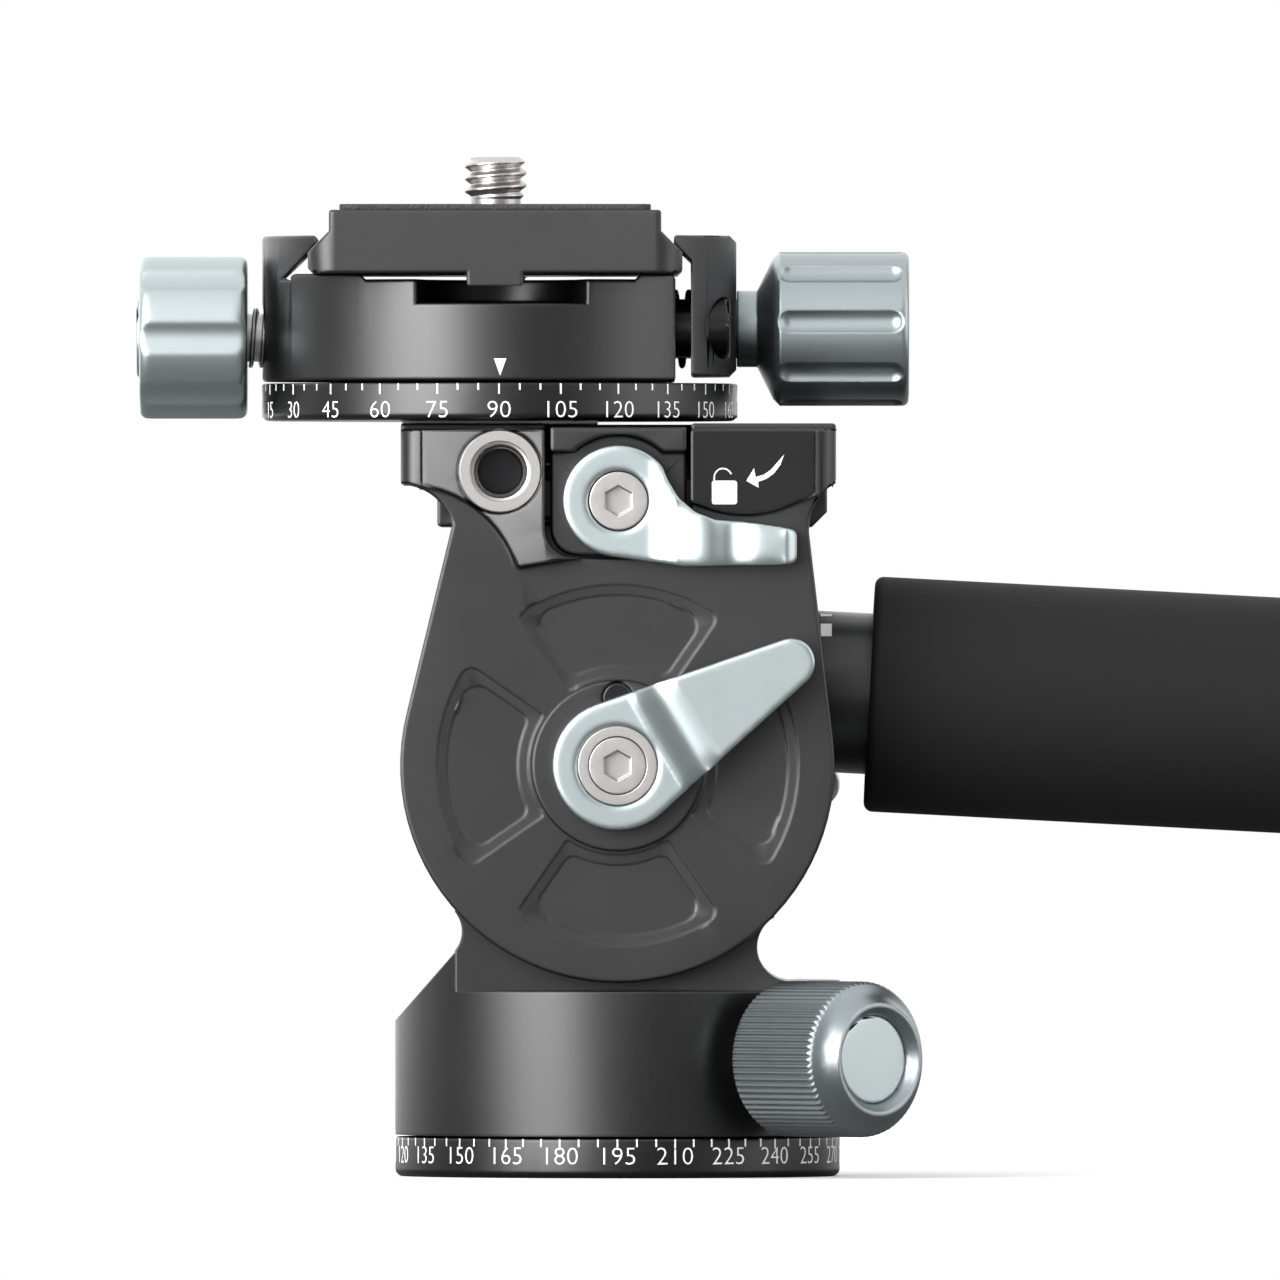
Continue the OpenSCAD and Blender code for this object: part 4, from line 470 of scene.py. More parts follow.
finishes["slip_plastic"] = soft("slip_plastic", (0.75, 0.73, 0.68), 0.45, bump=0.05)
finishes["grip_rubber"] = soft("foam_rubber", (0.0075, 0.0075, 0.0078), 0.75, pore=1800,
                               bump=0.35, gloss=0.2)
finishes["pad_rubber"] = soft("pad_rubber", (0.028, 0.028, 0.03), 0.7, pore=2600, bump=0.8,
                              depth=0.1 * MM)
white_paint = soft("white_paint", (0.93, 0.93, 0.92), 0.5, bump=0.03, change=0.06)
print("all finishes:", sorted(finishes))


# %% [markdown]
# Each CAD node names a material slot and gets the finish of that slot. The clamp knob shares its
# slot with the levers, but its copy of their finish is made darker as painted shade, so it has a
# finish of its own.

# %% Give every CAD node its finish
slot_of = {part["node"]: part["material_slot"] for part in frame["record"]["subparts"]}
# the clamp knob takes the darker copy of the lever finish, as painted shade
OWN_FINISH = {"clamp_knob": "shaded_flute_grey"}


def finish_of(node):
    """The finish of a node: its slot's, unless it has one of its own."""
    return finishes[OWN_FINISH.get(node, slot_of[node])]


def paint(mesh, finish):
    """One material on the whole of a mesh."""
    mesh.materials.clear()
    mesh.materials.append(finish)


for node, obj in frame["nodes"].items():
    paint(obj.data, finish_of(node))
print("dressed", len(slot_of), "nodes")


# %% [markdown]
# ## Rounded edges
#
# A machined part never has a perfectly sharp edge: it is tumbled, blasted and coated, and the thin
# bright line along its rounded edge is what tells the eye that it is metal. The solids are sharp,
# so the parts that show get a copy whose loose triangles are merged and whose edges get a Bevel
# modifier. Every corner then gets the mean normal of the faces that meet there, weighted by their
# area, so that flat faces stay flat to the light and only the rounded strips turn it. Faces that
# meet at more than a crease angle, such as the walls of the pockets in the cheeks, keep a sharp
# line. The copy stands for the node.

# %% Helpers that make objects and pieces
body_of_node = {node: body for body, nodes in frame["record"]["behaviour"]["bodies"].items()
                for node in nodes}


def placed(name, data):
    """A new object in the scene."""
    obj = bpy.data.objects.new(name, data)
    scene.collection.objects.link(obj)
    return obj


def make_piece(name, mesh, body, node=None):
    """A finished mesh as a piece that rides a body and may stand for a CAD node."""
    obj = placed(name, mesh)
    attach(obj, body)
    if node:
        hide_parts(node)
    return obj


def applied(obj):
    """The plain mesh that an object's modifiers give."""
    bpy.context.view_layer.update()
    graph = bpy.context.evaluated_depsgraph_get()
    return bpy.data.meshes.new_from_object(obj.evaluated_get(graph))


def changed(mesh, steps, chosen=None):
    """The mesh after modifiers, given as (kind, settings); chosen points form a group for them."""
    work = placed("work", mesh)
    if chosen is not None:
        work.vertex_groups.new(name="chosen").add(chosen, 1, "REPLACE")
    for kind, settings in steps:
        tool = work.modifiers.new(kind, kind)
        for setting, value in settings.items():
            setattr(tool, setting, value)
    done = applied(work)
    bpy.data.objects.remove(work)
    return done


def opened(mesh):
    """A mesh opened for editing."""
    bm = bmesh.new()
    bm.from_mesh(mesh)
    return bm


def as_mesh(bm, name):
    """The edited mesh under a new name."""
    mesh = bpy.data.meshes.new(name)
    bm.to_mesh(mesh)
    bm.free()
    return mesh


# %% Make rounded copies
SAME_POINT = 0.002 * MM     # corners nearer than this are one
NO_LENGTH = 0.001 * MM      # an edge shorter than this goes
BEVEL_FROM = 55             # degrees between faces from which their edge is rounded
BEVEL_SEGMENTS = 3
CREASE = 42                 # degrees between faces from which their line stays sharp


def merged(node):
    """A CAD node's mesh with its loose triangles merged."""
    bm = opened(frame["nodes"][node].data)
    bmesh.ops.remove_doubles(bm, verts=bm.verts, dist=SAME_POINT)
    bmesh.ops.dissolve_degenerate(bm, edges=bm.edges, dist=NO_LENGTH)
    for face in bm.faces:
        face.smooth = True
    mesh = as_mesh(bm, node + "_merged")
    for layer in [a for a in mesh.attributes if a.name == "custom_normal"]:
        mesh.attributes.remove(layer)
    return mesh


def shade_by_area(mesh, limit):
    """Gives each corner the mean normal of the faces there, larger faces counting for more."""
    least = math.cos(math.radians(limit))
    faces = [(f.normal.copy(), f.normal * f.area) for f in mesh.polygons]
    near = [[] for vertex in mesh.vertices]
    for face in mesh.polygons:
        for vertex in face.vertices:
            near[vertex].append(faces[face.index])
    corners = []
    for face in mesh.polygons:
        own = faces[face.index][0]
        for vertex in face.vertices:
            total = Vector()
            for other, weighted in near[vertex]:
                if own.dot(other) > least:
                    total += weighted
            corners.append(total.normalized())
    mesh.normals_split_custom_set(corners)


def rounded(node, width):
    """A copy of a CAD node with edges rounded by a width in millimetres, standing for it."""
    edge_round = ("BEVEL", {"width": width * MM, "segments": BEVEL_SEGMENTS, "limit_method": "ANGLE",
                            "angle_limit": math.radians(BEVEL_FROM), "use_clamp_overlap": False})
    mesh = changed(merged(node), [edge_round] if width else [])
    shade_by_area(mesh, CREASE)
    paint(mesh, finish_of(node))
    return make_piece("rounded_" + node, mesh, body_of_node[node], node)


# how far the rounding reaches from an edge, in millimetres; at 0 only the shading changes
ROUNDING = {"front_cheek": 0.3, "rear_cheek": 0.3, "pan_body": 0, "clamp_body": 0.35,
            "top_bridge": 0.3, "slide_jaw": 0.35, "clamp_jaw": 0.3, "quick_release_plate": 0.3,
            "handle_bracket": 0.3, "hub_flanges": 0.25, "base_ring": 0.25, "pano_ring": 0.2,
            "plate_pad": 0.12, "tilt_lock_screw": 0.12, "tilt_drag_screw": 0.12,
            "slide_lock_screw": 0.12, "tilt_lock_washer": 0.08, "tilt_drag_washer": 0.08,
            "pano_knob_cap": 0.3, "pan_knob_cap": 0.2, "clamp_knob": 0.15,
            "pan_knob": 0, "guide_pins": 0.3, "handle_grip": 0, "handle_tube": 0,
            "handle_end_cap": 0, "pan_lock_screw": 0}
for node, width in ROUNDING.items():
    piece = rounded(node, width)
    print(node, "->", len(piece.data.polygons), "faces")


# %% [markdown]
# The levers are cast and tumbled, and round all over, and the lobed knob has no sharp edge either.
# A bevel can't follow their short curved edges, so they are made as clay would be: the solid is
# filled with small voxels, the surface round them is smoothed, and so every edge melts by the same
# amount. The two levers in front also have bends in their blades, and these are smoothed again.

# %% Melt the edges of the levers and the lobed knob
joints = {joint["name"]: joint for joint in frame["joints"]}
TILT_AXIS = Vector(joints["tilt"]["pos_m"])
LEVER_RISE = math.radians(31)       # of the tilt lever's blade at rest
FACING_FRONT = -0.3                 # the Y below which a normal looks to the front
SMOOTHING = 0.5                     # how far a point goes to the mean of its neighbours

# where the bends start and end along the blade, in millimetres, and the rounds of smoothing
BENDS = {"tilt_lock_lever": (4.4, 9.5, 500), "slide_lock_lever": (6.0, 17.0, 260)}
# size of the voxels in millimetres, and the rounds of smoothing
MELTING = {"tilt_lock_lever": (0.13, 40), "tilt_drag_lever": (0.13, 40),
           "slide_lock_lever": (0.13, 50), "pano_knob": (0.2, 14)}


def along_lever(node, point):
    """How far a point lies from the hub along a lever's blade."""
    if node == "slide_lock_lever":
        return point.x
    return (point - TILT_AXIS).dot(Vector((math.cos(LEVER_RISE), 0, math.sin(LEVER_RISE))))


def soften_front(node, mesh):
    """Smooths the bends in a lever's front face, in depth only, so that its outline stays."""
    start, end, rounds = BENDS[node]
    chosen = [v.index for v in mesh.vertices
              if v.normal.y < FACING_FRONT and start * MM < along_lever(node, v.co) < end * MM]
    print(node, "softened points:", len(chosen))
    return changed(mesh, [("SMOOTH", {"factor": SMOOTHING, "iterations": rounds,
                                      "vertex_group": "chosen", "use_x": False, "use_z": False})],
                   chosen)


def melted(node, voxel, rounds):
    """A copy of a CAD node remeshed in small voxels and smoothed, standing for it."""
    mesh = changed(merged(node), [
        ("REMESH", {"mode": "VOXEL", "voxel_size": voxel * MM, "use_smooth_shade": True}),
        ("SMOOTH", {"factor": SMOOTHING, "iterations": rounds})])
    if node in BENDS:
        mesh = soften_front(node, mesh)
    paint(mesh, finish_of(node))
    return make_piece("melted_" + node, mesh, body_of_node[node], node)


for node, (voxel, rounds) in MELTING.items():
    piece = melted(node, voxel, rounds)
    print(node, "->", len(piece.data.polygons), "faces")


# %% [markdown]
# ## Degree scales
#
# Both rings carry a line every 5 degrees, a longer one every 15, and a number at each 15. The
# lines are the same small bar again and again, so Geometry Nodes set them round a circle: a mesh
# circle gives the places, each place turns its bar to face outwards, and every third bar is the
# longer one. The bars are printed, so they stand only a hair above the metal.

# %% Helpers that start and end a geometry tree
def geometry_tree(name, inputs):
    """A geometry tree with its input and output nodes: inputs are (name, kind, value)."""
    return new_group(name, [("Geometry", "Geometry", None)] + inputs, [("Geometry", "Geometry")],
                     "GeometryNodeTree")


def end_tree(tree, shape, tree_in, tree_out):
    """Makes a shape's instances real, gives it the tree's material and hands it out."""
    real = linked_node(tree, "GeometryNodeRealizeInstances", {"Geometry": shape})
    painted = linked_node(tree, "GeometryNodeSetMaterial",
                          {"Geometry": real.outputs[0], "Material": tree_in.outputs["Material"]})
    tree.links.new(painted.outputs[0], tree_out.inputs[0])
    print("tree made:", tree.name, len(tree.nodes), "nodes")


def vector_of(tree, **sources):
    """A vector from the sockets given for X, Y and Z; what isn't given stays 0."""
    return linked_node(tree, "ShaderNodeCombineXYZ", sources).outputs[0]


# %% A Geometry Nodes tree for lines round a ring
ticks, t_in, t_out = geometry_tree(
    "lines_round_a_ring",
    [("Radius", "Float", 20 * MM), ("Count", "Int", 72), ("Every", "Int", 3), ("Top", "Float", 4 * MM),
     ("Short", "Float", 1 * MM), ("Long", "Float", 2 * MM), ("Width", "Float", 0.2 * MM),
     ("Thickness", "Float", 0.04 * MM), ("Material", "Material", None)])
circle = linked_node(ticks, "GeometryNodeMeshCircle",
                     {"Vertices": t_in.outputs["Count"], "Radius": t_in.outputs["Radius"]})
index = ticks.nodes.new("GeometryNodeInputIndex")
left_over = math_node(ticks, "MODULO", index.outputs[0], t_in.outputs["Every"])
is_long = ticks.nodes.new("FunctionNodeCompare")
is_long.data_type = "FLOAT"
is_long.operation = "LESS_THAN"
ticks.links.new(left_over, is_long.inputs["A"])
is_long.inputs["B"].default_value = 0.5
is_short = ticks.nodes.new("FunctionNodeBooleanMath")
is_short.operation = "NOT"
ticks.links.new(is_long.outputs[0], is_short.inputs[0])
turn_step = math_node(ticks, "DIVIDE", math.tau, t_in.outputs["Count"])
turn = math_node(ticks, "MULTIPLY", index.outputs[0], turn_step)
spin = vector_of(ticks, Z=turn)
join = ticks.nodes.new("GeometryNodeJoinGeometry")
for kind, chosen in (("Short", is_short), ("Long", is_long)):
    size = vector_of(ticks, X=t_in.outputs["Thickness"], Y=t_in.outputs["Width"], Z=t_in.outputs[kind])
    bar = linked_node(ticks, "GeometryNodeMeshCube", {"Size": size})
    half = math_node(ticks, "MULTIPLY", t_in.outputs[kind], 0.5)
    middle = math_node(ticks, "SUBTRACT", t_in.outputs["Top"], half)
    raised = linked_node(ticks, "GeometryNodeTransform",
                         {"Geometry": bar.outputs["Mesh"], "Translation": vector_of(ticks, Z=middle)})
    place = linked_node(ticks, "GeometryNodeInstanceOnPoints",
                        {"Points": circle.outputs["Mesh"], "Selection": chosen.outputs[0],
                         "Instance": raised.outputs["Geometry"], "Rotation": spin})
    ticks.links.new(place.outputs["Instances"], join.inputs["Geometry"])
end_tree(ticks, join.outputs[0], t_in, t_out)


# %% Helpers that run a tree and move a mesh
def grow(tree, values):
    """The plain mesh that a geometry tree makes from these named inputs."""
    work = placed("work", bpy.data.meshes.new("seed"))
    mod = work.modifiers.new("tree", "NODES")
    mod.node_group = tree
    for item in tree.interface.items_tree:
        if item.in_out == "INPUT" and item.name in values:
            mod[item.identifier] = values[item.name]
    mesh = applied(work)
    bpy.data.objects.remove(work)
    return mesh


def moved(mesh, offset):
    """The same mesh, moved."""
    mesh.transform(Matrix.Translation(offset))
    return mesh


# %% Lines on both rings
pano_low, pano_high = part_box("pano_ring")
RING_GAP = 0.2 * MM         # between a ring's rim and the body that turns over it
BASE_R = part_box("base_ring")[1].x
BASE_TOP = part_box("pan_body")[0].z - RING_GAP
PANO_X = (pano_low.x + pano_high.x) / 2
PANO_R = (pano_high.x - pano_low.x) / 2
PANO_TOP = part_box("clamp_body")[0].z - RING_GAP
HAIR = 0.02 * MM            # half the thickness of the paint

LINES, LONG_EVERY = 72, 3
NUMBERS = LINES // LONG_EVERY
NUMBER_STEP = 360 // NUMBERS
LINE_WIDTH = 0.17 * MM

# inset is from the rim's top to the lines, digits and middle are the height of the digits and of
# their middle over the ground, and front is the number that faces the camera at rest
SCALES = {
    "base": dict(body="base", x=0.0, radius=BASE_R, top=BASE_TOP, inset=0.06 * MM, short=0.78 * MM,
                 long=1.05 * MM, digits=1.78 * MM, middle=2.14 * MM, front=195),
    "pano": dict(body="slide", x=PANO_X, radius=PANO_R, top=PANO_TOP, inset=0.1 * MM,
                 short=0.65 * MM, long=1.05 * MM, digits=1.72 * MM, middle=77.9 * MM, front=90),
}
for name, s in SCALES.items():
    mesh = grow(ticks, {"Radius": s["radius"], "Count": LINES, "Every": LONG_EVERY,
                        "Top": s["top"] - s["inset"], "Short": s["short"], "Long": s["long"],
                        "Width": LINE_WIDTH, "Thickness": 2 * HAIR, "Material": white_paint})
    make_piece("scale_lines_" + name, moved(mesh, (s["x"], 0, 0)), s["body"])
    print(name, "lines:", len(mesh.polygons), "faces")


# %% [markdown]
# Numbers start as a text object. Its flat letters become a mesh, and every point is then carried
# round the cylinder: the distance along the text turns into an angle, so the numbers hug the ring
# as engraved and painted ones do. This must happen on the mesh, before it gets a place.

# %% Helpers for numbers wrapped round a cylinder
CAPITAL_SHARE = 0.69        # height of a digit as a share of the font's size
DIGIT_STRETCH = 1.04        # the real digits are a little wider
STROKE_TRIM = 0.04 * MM     # and their strokes thinner
DOUBLE_POINT = 0.001 * MM


def letters(text, height):
    """A text as a thin flat mesh, centred, with digits of this height."""
    curve = bpy.data.curves.new("letters", "FONT")
    curve.body = text
    curve.align_x = "CENTER"
    curve.align_y = "CENTER"
    curve.size = height / CAPITAL_SHARE
    curve.extrude = HAIR
    curve.offset = -STROKE_TRIM
    curve.resolution_u = 3
    work = placed("letters", curve)
    bm = opened(applied(work))
    bpy.data.objects.remove(work)
    bmesh.ops.remove_doubles(bm, verts=bm.verts, dist=DOUBLE_POINT)
    mesh = as_mesh(bm, "letters")
    mesh.transform(Matrix.Diagonal((DIGIT_STRETCH, 1, 1, 1)))
    return mesh


def wrap(mesh, radius, angle, z, proud):
    """Carries a flat mesh in its own XY plane round an upright cylinder at an angle."""
    for v in mesh.vertices:
        x, y, up = v.co
        a = angle + x / radius
        r = radius + up + proud
        v.co = (r * math.cos(a), r * math.sin(a), z + y)
    return mesh


def join_meshes(name, meshes):
    """Several meshes as one."""
    bm = bmesh.new()
    for mesh in meshes:
        bm.from_mesh(mesh)
    return as_mesh(bm, name)


# %% Numbers on both rings
FRONT = math.radians(-90)       # the direction that faces the camera, counted from +X

for name, s in SCALES.items():
    made = []
    for number in range(0, 360, NUMBER_STEP):
        angle = FRONT + math.radians(number - s["front"])
        made.append(wrap(letters(str(number), s["digits"]), s["radius"], angle, s["middle"], 0))
    mesh = moved(join_meshes("numbers_" + name, made), (s["x"], 0, 0))
    paint(mesh, white_paint)
    make_piece("scale_numbers_" + name, mesh, s["body"])
    print(name, "numbers:", len(made), "with", len(mesh.polygons), "faces")


# %% [markdown]
# ## Painted signs
#
# A white triangle on the clamp points at the panorama scale, an open padlock and a curved arrow
# show which way the slide lock opens, and a small mark on the neck of the handle does the same for
# the handle. They are plain signs of their kind, drawn as flat outlines and laid on the metal.

# %% Flat outlines filled as thin plates
def plate_from(points, thick=2 * HAIR):
    """A thin plate from a closed outline in millimetres, in its own XY plane."""
    bm = bmesh.new()
    face = bm.faces.new([bm.verts.new((x * MM, y * MM, -thick / 2)) for x, y in points])
    got = bmesh.ops.extrude_face_region(bm, geom=[face])
    lifted = [v for v in got["geom"] if isinstance(v, bmesh.types.BMVert)]
    bmesh.ops.translate(bm, verts=lifted, vec=(0, 0, thick))
    bmesh.ops.recalc_face_normals(bm, faces=bm.faces)
    return as_mesh(bm, "plate")


def arc(x, y, r, start, end, count):
    """Points of an arc in millimetres, angles in degrees."""
    angles = [math.radians(start + (end - start) * i / count) for i in range(count + 1)]
    return [(x + r * math.cos(a), y + r * math.sin(a)) for a in angles]


# %% Padlock and arrow on the front pad, which leans back to the right
# its left and right ends as seen from above, in millimetres
PAD_X, PAD_Y, PAD_END_X, PAD_END_Y = 7.3, -24.2, 22.2, -21.1
lean = math.atan2(PAD_END_Y - PAD_Y, PAD_END_X - PAD_X)


def on_pad(mesh):
    """Lays a flat mesh, drawn in front-view millimetres, on the leaning pad."""
    for v in mesh.vertices:
        x, z, up = v.co
        y = PAD_Y * MM + (x - PAD_X * MM) * math.tan(lean)
        v.co = (x, y - up - HAIR, z)
    bm = opened(mesh)
    bmesh.ops.recalc_face_normals(bm, faces=bm.faces)
    return as_mesh(bm, mesh.name)


left, low = on_picture(711.5, 505)
right, high = on_picture(736.5, 481.5)
CORNER_R = 0.25
padlock = (arc(right - CORNER_R, high - CORNER_R, CORNER_R, 0, 90, 4)
           + arc(left + CORNER_R, high - CORNER_R, CORNER_R, 90, 180, 4)
           + arc(left + CORNER_R, low + CORNER_R, CORNER_R, 180, 270, 4)
           + arc(right - CORNER_R, low + CORNER_R, CORNER_R, 270, 360, 4))

# the open shackle stands on the left, reaches into the body and ends in the air on the right
SHACKLE_OUT, SHACKLE_IN, SHACKLE_END = 0.95, 0.81, 20
foot = high - 0.05
bow_x, bow_z = on_picture(722.5, 478)
shackle = ([(bow_x - SHACKLE_OUT, foot), (bow_x - SHACKLE_OUT, bow_z)]
           + arc(bow_x, bow_z, SHACKLE_OUT, 180, SHACKLE_END, 10)
           + arc(bow_x, bow_z, SHACKLE_IN, SHACKLE_END, 180, 10) + [(bow_x - SHACKLE_IN, foot)])

# the arrow, in pixels: down its outer edge, round the head and back up its inner edge
ARROW = [(783.3, 455.5), (779.5, 466), (773, 474.5), (766, 479.5), (757.5, 482.6), (758, 488.5),
         (745.8, 481.6), (753.4, 469.2), (755, 477.8), (763, 475.6), (770, 470.8), (777, 463)]
arrow = [on_picture(*point) for point in ARROW]

mesh = join_meshes("slide_lock_sign", [on_pad(plate_from(p)) for p in (padlock, shackle, arrow)])
paint(mesh, white_paint)
make_piece("slide_lock_sign", mesh, "tilt_stage")
print("slide lock sign:", len(mesh.polygons), "faces")

# %% Index triangle on the clamp
index_left, index_top = on_picture(494.8, 360)
index_right, index_low = on_picture(507, 377)
index_x = (index_left + index_right) / 2
triangle = plate_from([(index_left - index_x, index_top), (0, index_low),
                       (index_right - index_x, index_top)])
wrap(triangle, PANO_R, FRONT + (index_x * MM - PANO_X) / PANO_R, 0, HAIR)
moved(triangle, (PANO_X, 0, 0))
paint(triangle, white_paint)
make_piece("index_mark", triangle, "pano_stage")
print("index mark made")

# %% Marks on the neck of the handle, which slopes down to the right
NECK_R = 8.2 * MM
NECK_SLOPE = math.tan(math.radians(3))
NECK_Z = TILT_AXIS.z + 8.6 * MM     # height at which its middle line meets the pan axis
STEEPEST = 0.96                     # the marks end a little inside the neck's outline
NECK_MARKS = [(820.5, 611.5, 832, 616.5), (820.5, 624, 831.5, 636.5)]     # pixels


def clamped(value, low=0.0, high=1.0):
    """The value, kept between two limits."""
    return max(low, min(high, value))


def on_neck(mesh):
    """Lays a flat mesh, drawn in front-view millimetres, round the front of the neck."""
    bm = opened(mesh)
    bmesh.ops.subdivide_edges(bm, edges=bm.edges, cuts=3, use_grid_fill=True)
    for v in bm.verts:
        x, z, up = v.co
        middle = NECK_Z - x * NECK_SLOPE
        off = clamped((z - middle) / NECK_R, -STEEPEST, STEEPEST)
        radius = NECK_R + up + HAIR
        v.co = (x, -radius * math.sqrt(1 - off * off), middle + radius * off)
    bmesh.ops.recalc_face_normals(bm, faces=bm.faces)
    return as_mesh(bm, mesh.name)


neck_marks = []
for first_across, first_down, last_across, last_down in NECK_MARKS:
    left, high = on_picture(first_across, first_down)
    right, low = on_picture(last_across, last_down)
    neck_marks.append(on_neck(plate_from([(left, low), (right, low), (right, high), (left, high)])))
mesh = join_meshes("neck_marks", neck_marks)
paint(mesh, white_paint)
make_piece("neck_marks", mesh, "tilt_stage")
print("neck marks made:", len(neck_marks))


# %% [markdown]
# ## Threads
#
# A thread is a groove that climbs as it goes round. Its surface can be written down: at a height z
# and an angle a, the place within one turn is z / pitch - a / 360 degrees, and the radius rises and
# falls with it like a saw. A grid of such points, closed at both ends, is a screw; the same with
# the groove turned outwards is a tapped hole. Real crests are a little flat, so the wave is cut.

# %% A threaded surface of revolution
PITCH = INCH / 20           # both threads have 20 turns to the inch
GROOVE_FLAT = 0.12          # share of the wave that is cut flat in the groove
FLANK = 0.72                # share that climbs; what is left is flat on the crest
SCREW_SIDES, PORT_SIDES, TURNED_SIDES = 56, 48, 72      # points round each kind of ring


def thread_wave(turns):
    """0 in the groove and 1 on the crest, with a narrow flat on both."""
    within = turns % 1.0
    return clamped((2 * min(within, 1 - within) - GROOVE_FLAT) / FLANK)


def ring_of(bm, radius_at, z, around):
    """Points round Z at a height, whose radius is radius_at(share of a turn)."""
    ring = []
    for k in range(around):
        a = math.tau * k / around
        r = radius_at(k / around)
        ring.append(bm.verts.new((r * math.cos(a), r * math.sin(a), z)))
    return ring


def skin(bm, first, second):
    """Faces between two rings of points."""
    for k in range(len(first)):
        n = (k + 1) % len(first)
        bm.faces.new((first[k], first[n], second[n], second[k]))


def smooth_mesh(bm, name, sharp_from):
    """The mesh, smooth but for edges above an angle in degrees."""
    for face in bm.faces:
        face.smooth = True
    mesh = as_mesh(bm, name)
    mesh.set_sharp_from_angle(angle=math.radians(sharp_from))
    return mesh


THREAD_SHARP = 40       # degrees


def lathe_grid(name, heights, around, radius_at, inside=False):
    """Rings whose radius is radius_at(height, turn): a closed rod, or an open wall seen inside."""
    bm = bmesh.new()
    rows = [ring_of(bm, lambda turn: radius_at(z, turn), z, around) for z in heights]
    for low_row, high_row in zip(rows, rows[1:]):
        skin(bm, low_row, high_row)
    if inside:
        bmesh.ops.reverse_faces(bm, faces=bm.faces)
    else:
        bm.faces.new(rows[0][::-1])
        bm.faces.new(rows[-1])
    return smooth_mesh(bm, name, THREAD_SHARP)


# %% Camera screw: its thread
screw_low, screw_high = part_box("camera_screw")
SCREW_X = (screw_low.x + screw_high.x) / 2
CREST_R, ROOT_R = 3.17 * MM, 2.55 * MM
THREAD_FROM = 99.6 * MM     # height over the ground; the shank is plain below it
RUN_OUT = 0.5 * MM
TIP_HEIGHT, TIP_SLOPE = 0.55 * MM, 1.3
HEAD_R, HEAD_HEIGHT, HEAD_EDGE = 6.2 * MM, 2.4 * MM, 0.3 * MM
OVERLAP = 0.1 * MM          # how far the shank reaches into the head
SCREW_STEPS = 16            # rings in one turn of the thread
top = screw_high.z


def camera_thread(z, turn):
    """Radius of the camera screw: shank, a run-out, the thread and a chamfered tip."""
    fade = clamped((z - THREAD_FROM) / RUN_OUT)
    radius = ROOT_R + (CREST_R - ROOT_R) * thread_wave(z / PITCH - turn) * fade
    tip = CREST_R - max(0.0, z - (top - TIP_HEIGHT)) * TIP_SLOPE
    return min(radius, tip)


start = THREAD_FROM - 0.2 * MM
rise = PITCH / SCREW_STEPS
heights = [screw_low.z + HEAD_HEIGHT - OVERLAP]
heights += [start + i * rise for i in range(math.ceil((top - start) / rise))] + [top]
thread_mesh = lathe_grid("camera_thread", heights, SCREW_SIDES, camera_thread)
print("camera thread:", len(heights), "rings")

# %% Camera screw: its slotted head
SLOT_LENGTH, SLOT_WIDTH, SLOT_DEPTH = 14, 1.2, 1.2
head_low, head_high = screw_low.z, screw_low.z + HEAD_HEIGHT
head_radius = {head_low: HEAD_R - HEAD_EDGE, head_low + HEAD_EDGE: HEAD_R,
               head_high - HEAD_EDGE: HEAD_R, head_high: HEAD_R - HEAD_EDGE}
head_mesh = lathe_grid("camera_head", list(head_radius), TURNED_SIDES,
                       lambda z, turn: head_radius[z])
x, y = SLOT_LENGTH / 2, SLOT_WIDTH / 2
slot_cut = placed("slot", plate_from([(-x, -y), (x, -y), (x, y), (-x, y)], 2 * SLOT_DEPTH * MM))
slot_cut.location.z = head_low
head_cut = changed(head_mesh, [("BOOLEAN", {"object": slot_cut, "solver": "EXACT"})])
bpy.data.objects.remove(slot_cut)
mesh = moved(join_meshes("camera_screw", [thread_mesh, head_cut]), (SCREW_X, 0, 0))
paint(mesh, finishes["steel"])
make_piece("threaded_camera_screw", mesh, "plate_screw", "camera_screw")
print("camera screw:", len(mesh.polygons), "faces")


# %% Accessory port: a steel insert with a bevelled lip and a tapped bore
port_low, port_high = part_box("accessory_insert")
FLANGE_R, BODY_R, LIP_R, BORE_R = 4.2, 3.6, 3.1, 2.62
RIM, FLANGE = 0.12, 1.2             # width of the flange's bevel, and its thickness
CREST_IN, THREAD_DEPTH = 0.3, 0.34  # how far the thread stands into the bore, and its depth
PORT_STEPS = 14                     # rings in one turn of the thread
TURNED_SHARP = 16                   # degrees
THREAD_START, THREAD_REST = 0.75, 0.8
depth = (port_high.y - port_low.y) / MM
into_port = (Matrix.Translation(((port_low.x + port_high.x) / 2, port_low.y,
                                 (port_low.z + port_high.z) / 2))
             @ Matrix.Rotation(math.radians(-90), 4, "X"))

# the profile runs from the bore's mouth out over the lip, down the flange and back along the body
profile = [(BORE_R, 0.65), (BORE_R + 0.15, 0.3), (LIP_R - 0.08, 0.25), (LIP_R, 0.0),
           (FLANGE_R - RIM, 0.0), (FLANGE_R, RIM), (FLANGE_R, FLANGE), (BODY_R, FLANGE),
           (BODY_R, depth), (BORE_R, depth)]


def turned(name, points):
    """A ring turned round Z from a closed outline of (radius, height) in millimetres."""
    bm = bmesh.new()
    rows = [ring_of(bm, lambda turn: r * MM, z * MM, TURNED_SIDES) for r, z in points]
    for first, second in zip(rows, rows[1:] + rows[:1]):
        skin(bm, first, second)
    bmesh.ops.recalc_face_normals(bm, faces=bm.faces)
    return smooth_mesh(bm, name, TURNED_SHARP)


def port_thread(z, turn):
    """Radius inside the tapped bore."""
    return (BORE_R - CREST_IN + THREAD_DEPTH * thread_wave(z / PITCH - turn)) * MM


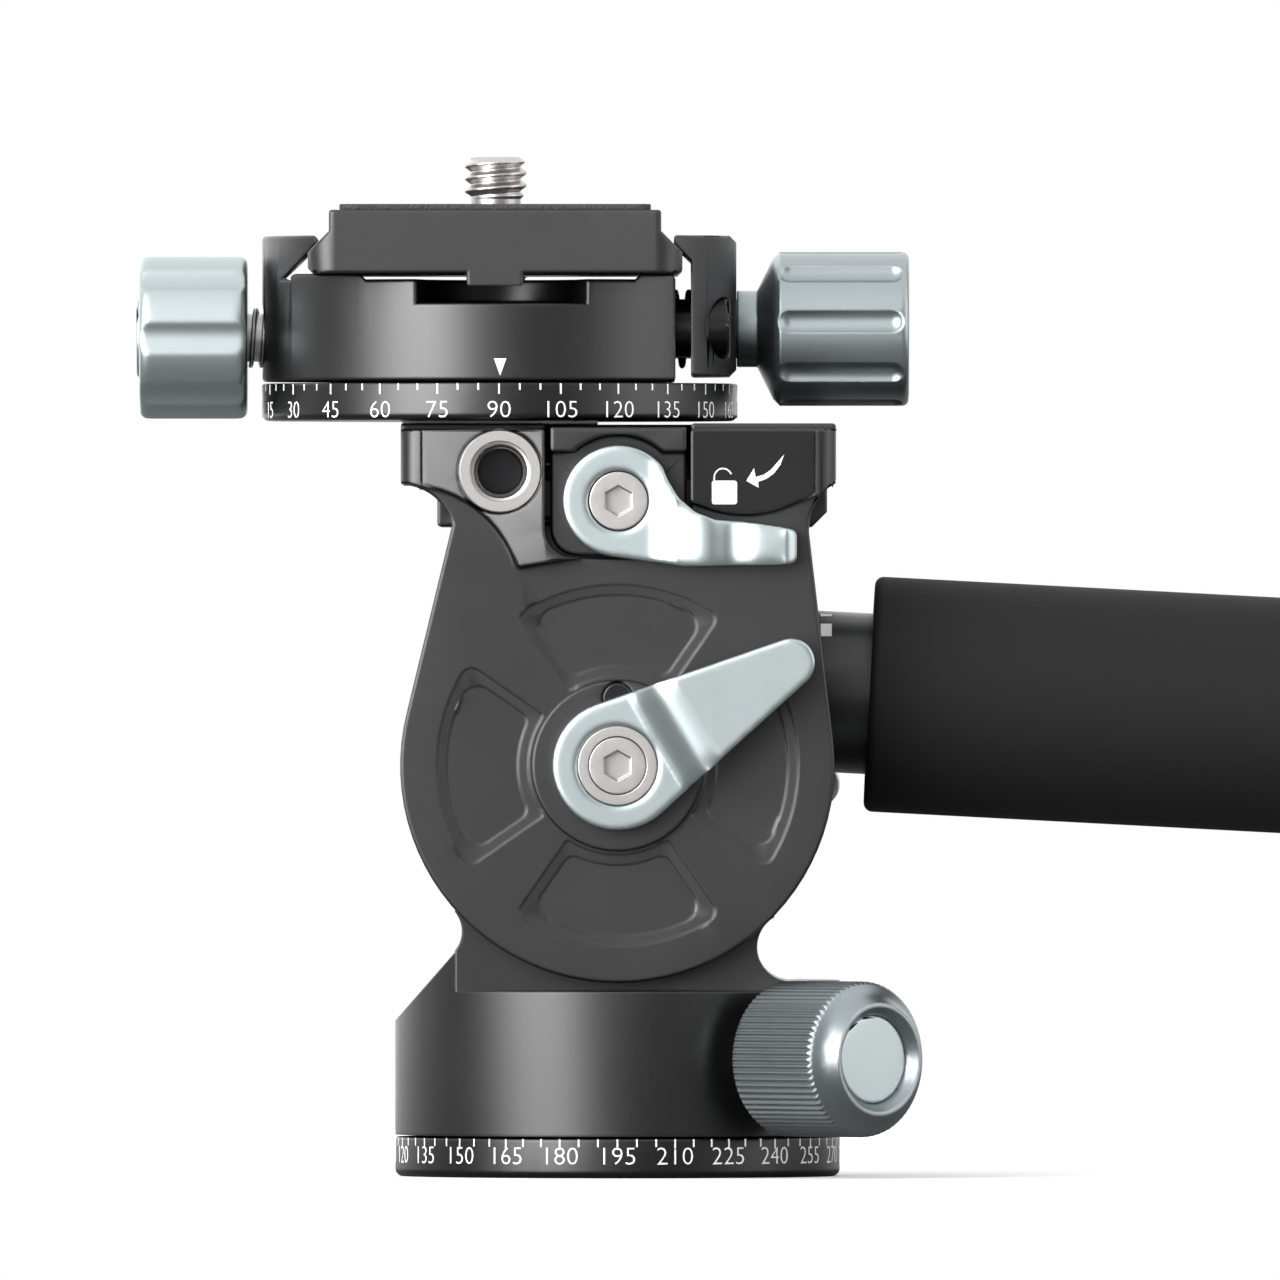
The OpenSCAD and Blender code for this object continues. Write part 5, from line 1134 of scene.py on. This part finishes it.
rise = PITCH / PORT_STEPS
heights = [THREAD_START * MM + i * rise for i in range(int((depth - THREAD_REST) * MM / rise))]
tapped = lathe_grid("port_thread", heights, PORT_SIDES, port_thread, inside=True)
mesh = join_meshes("port", [turned("port_shell", profile), tapped])
mesh.transform(into_port)
paint(mesh, finishes["steel"])
make_piece("threaded_accessory_insert", mesh, "tilt_stage", "accessory_insert")
print("accessory port:", len(mesh.polygons), "faces")

# %% A dark disc at the port's far end, which is blind: painted shade for the depth of the bore
PLUG_R, PLUG_MIDDLE = BORE_R - 0.35, 0.05       # its middle is left open by a pinhole
PLUG_FROM, PLUG_TO = depth - 0.5, depth - 0.1
shade_disc = turned("port_shade_disc", [(PLUG_MIDDLE, PLUG_FROM), (PLUG_R, PLUG_FROM), (PLUG_R, PLUG_TO),
                            (PLUG_MIDDLE, PLUG_TO)])
shade_disc.transform(into_port)
# black steel here is painted shade inside the deep bore
paint(shade_disc, finishes["black_steel"])
make_piece("port_shade_disc", shade_disc, "tilt_stage")
print("port plug:", len(shade_disc.polygons), "faces")


# %% [markdown]
# ## Springs
#
# A light spring keeps the panorama lock knob from rattling, and another pushes the clamp jaw open.
# A spring is a circle carried along a helix, which is what Curve to Mesh does in Geometry Nodes.
# The helix is made along Z and turned to lie on its screw.

# %% A Geometry Nodes tree for a coil spring
coil_tree, c_in, c_out = geometry_tree(
    "coil_spring",
    [("Mean radius", "Float", 3 * MM), ("Wire radius", "Float", 0.3 * MM), ("Turns", "Float", 4.5),
     ("Length", "Float", 5 * MM), ("Material", "Material", None)])
mean_radius = c_in.outputs["Mean radius"]
helix = linked_node(coil_tree, "GeometryNodeCurveSpiral",
                    {"Rotations": c_in.outputs["Turns"], "Start Radius": mean_radius,
                     "End Radius": mean_radius, "Height": c_in.outputs["Length"]})
helix.inputs["Resolution"].default_value = 32
wire = linked_node(coil_tree, "GeometryNodeCurvePrimitiveCircle",
                   {"Radius": c_in.outputs["Wire radius"]})
wire.inputs["Resolution"].default_value = 12
sweep = linked_node(coil_tree, "GeometryNodeCurveToMesh",
                    {"Curve": helix.outputs[0], "Profile Curve": wire.outputs[0]})
sweep.inputs["Fill Caps"].default_value = True
smooth = linked_node(coil_tree, "GeometryNodeSetShadeSmooth", {"Geometry": sweep.outputs[0]})
end_tree(coil_tree, smooth.outputs[0], c_in, c_out)


# %% Both springs, with the radius of their wire and their turns
SPRINGS = {"pano_knob_spring": (0.25 * MM, 4.5), "jaw_spring": (0.3 * MM, 3.5)}

for node, (wire_r, turns) in SPRINGS.items():
    low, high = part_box(node)
    mesh = grow(coil_tree, {"Mean radius": (high.z - low.z) / 2 - wire_r, "Wire radius": wire_r,
                            "Turns": turns, "Length": high.x - low.x - 2 * wire_r,
                            "Material": finishes["spring_steel"]})
    mesh.transform(Matrix.Translation((low.x + wire_r, (low.y + high.y) / 2, (low.z + high.z) / 2))
                   @ Matrix.Rotation(math.radians(90), 4, "Y"))
    make_piece("wound_" + node, mesh, "pano_stage", node)
    print(node, "->", len(mesh.polygons), "faces")
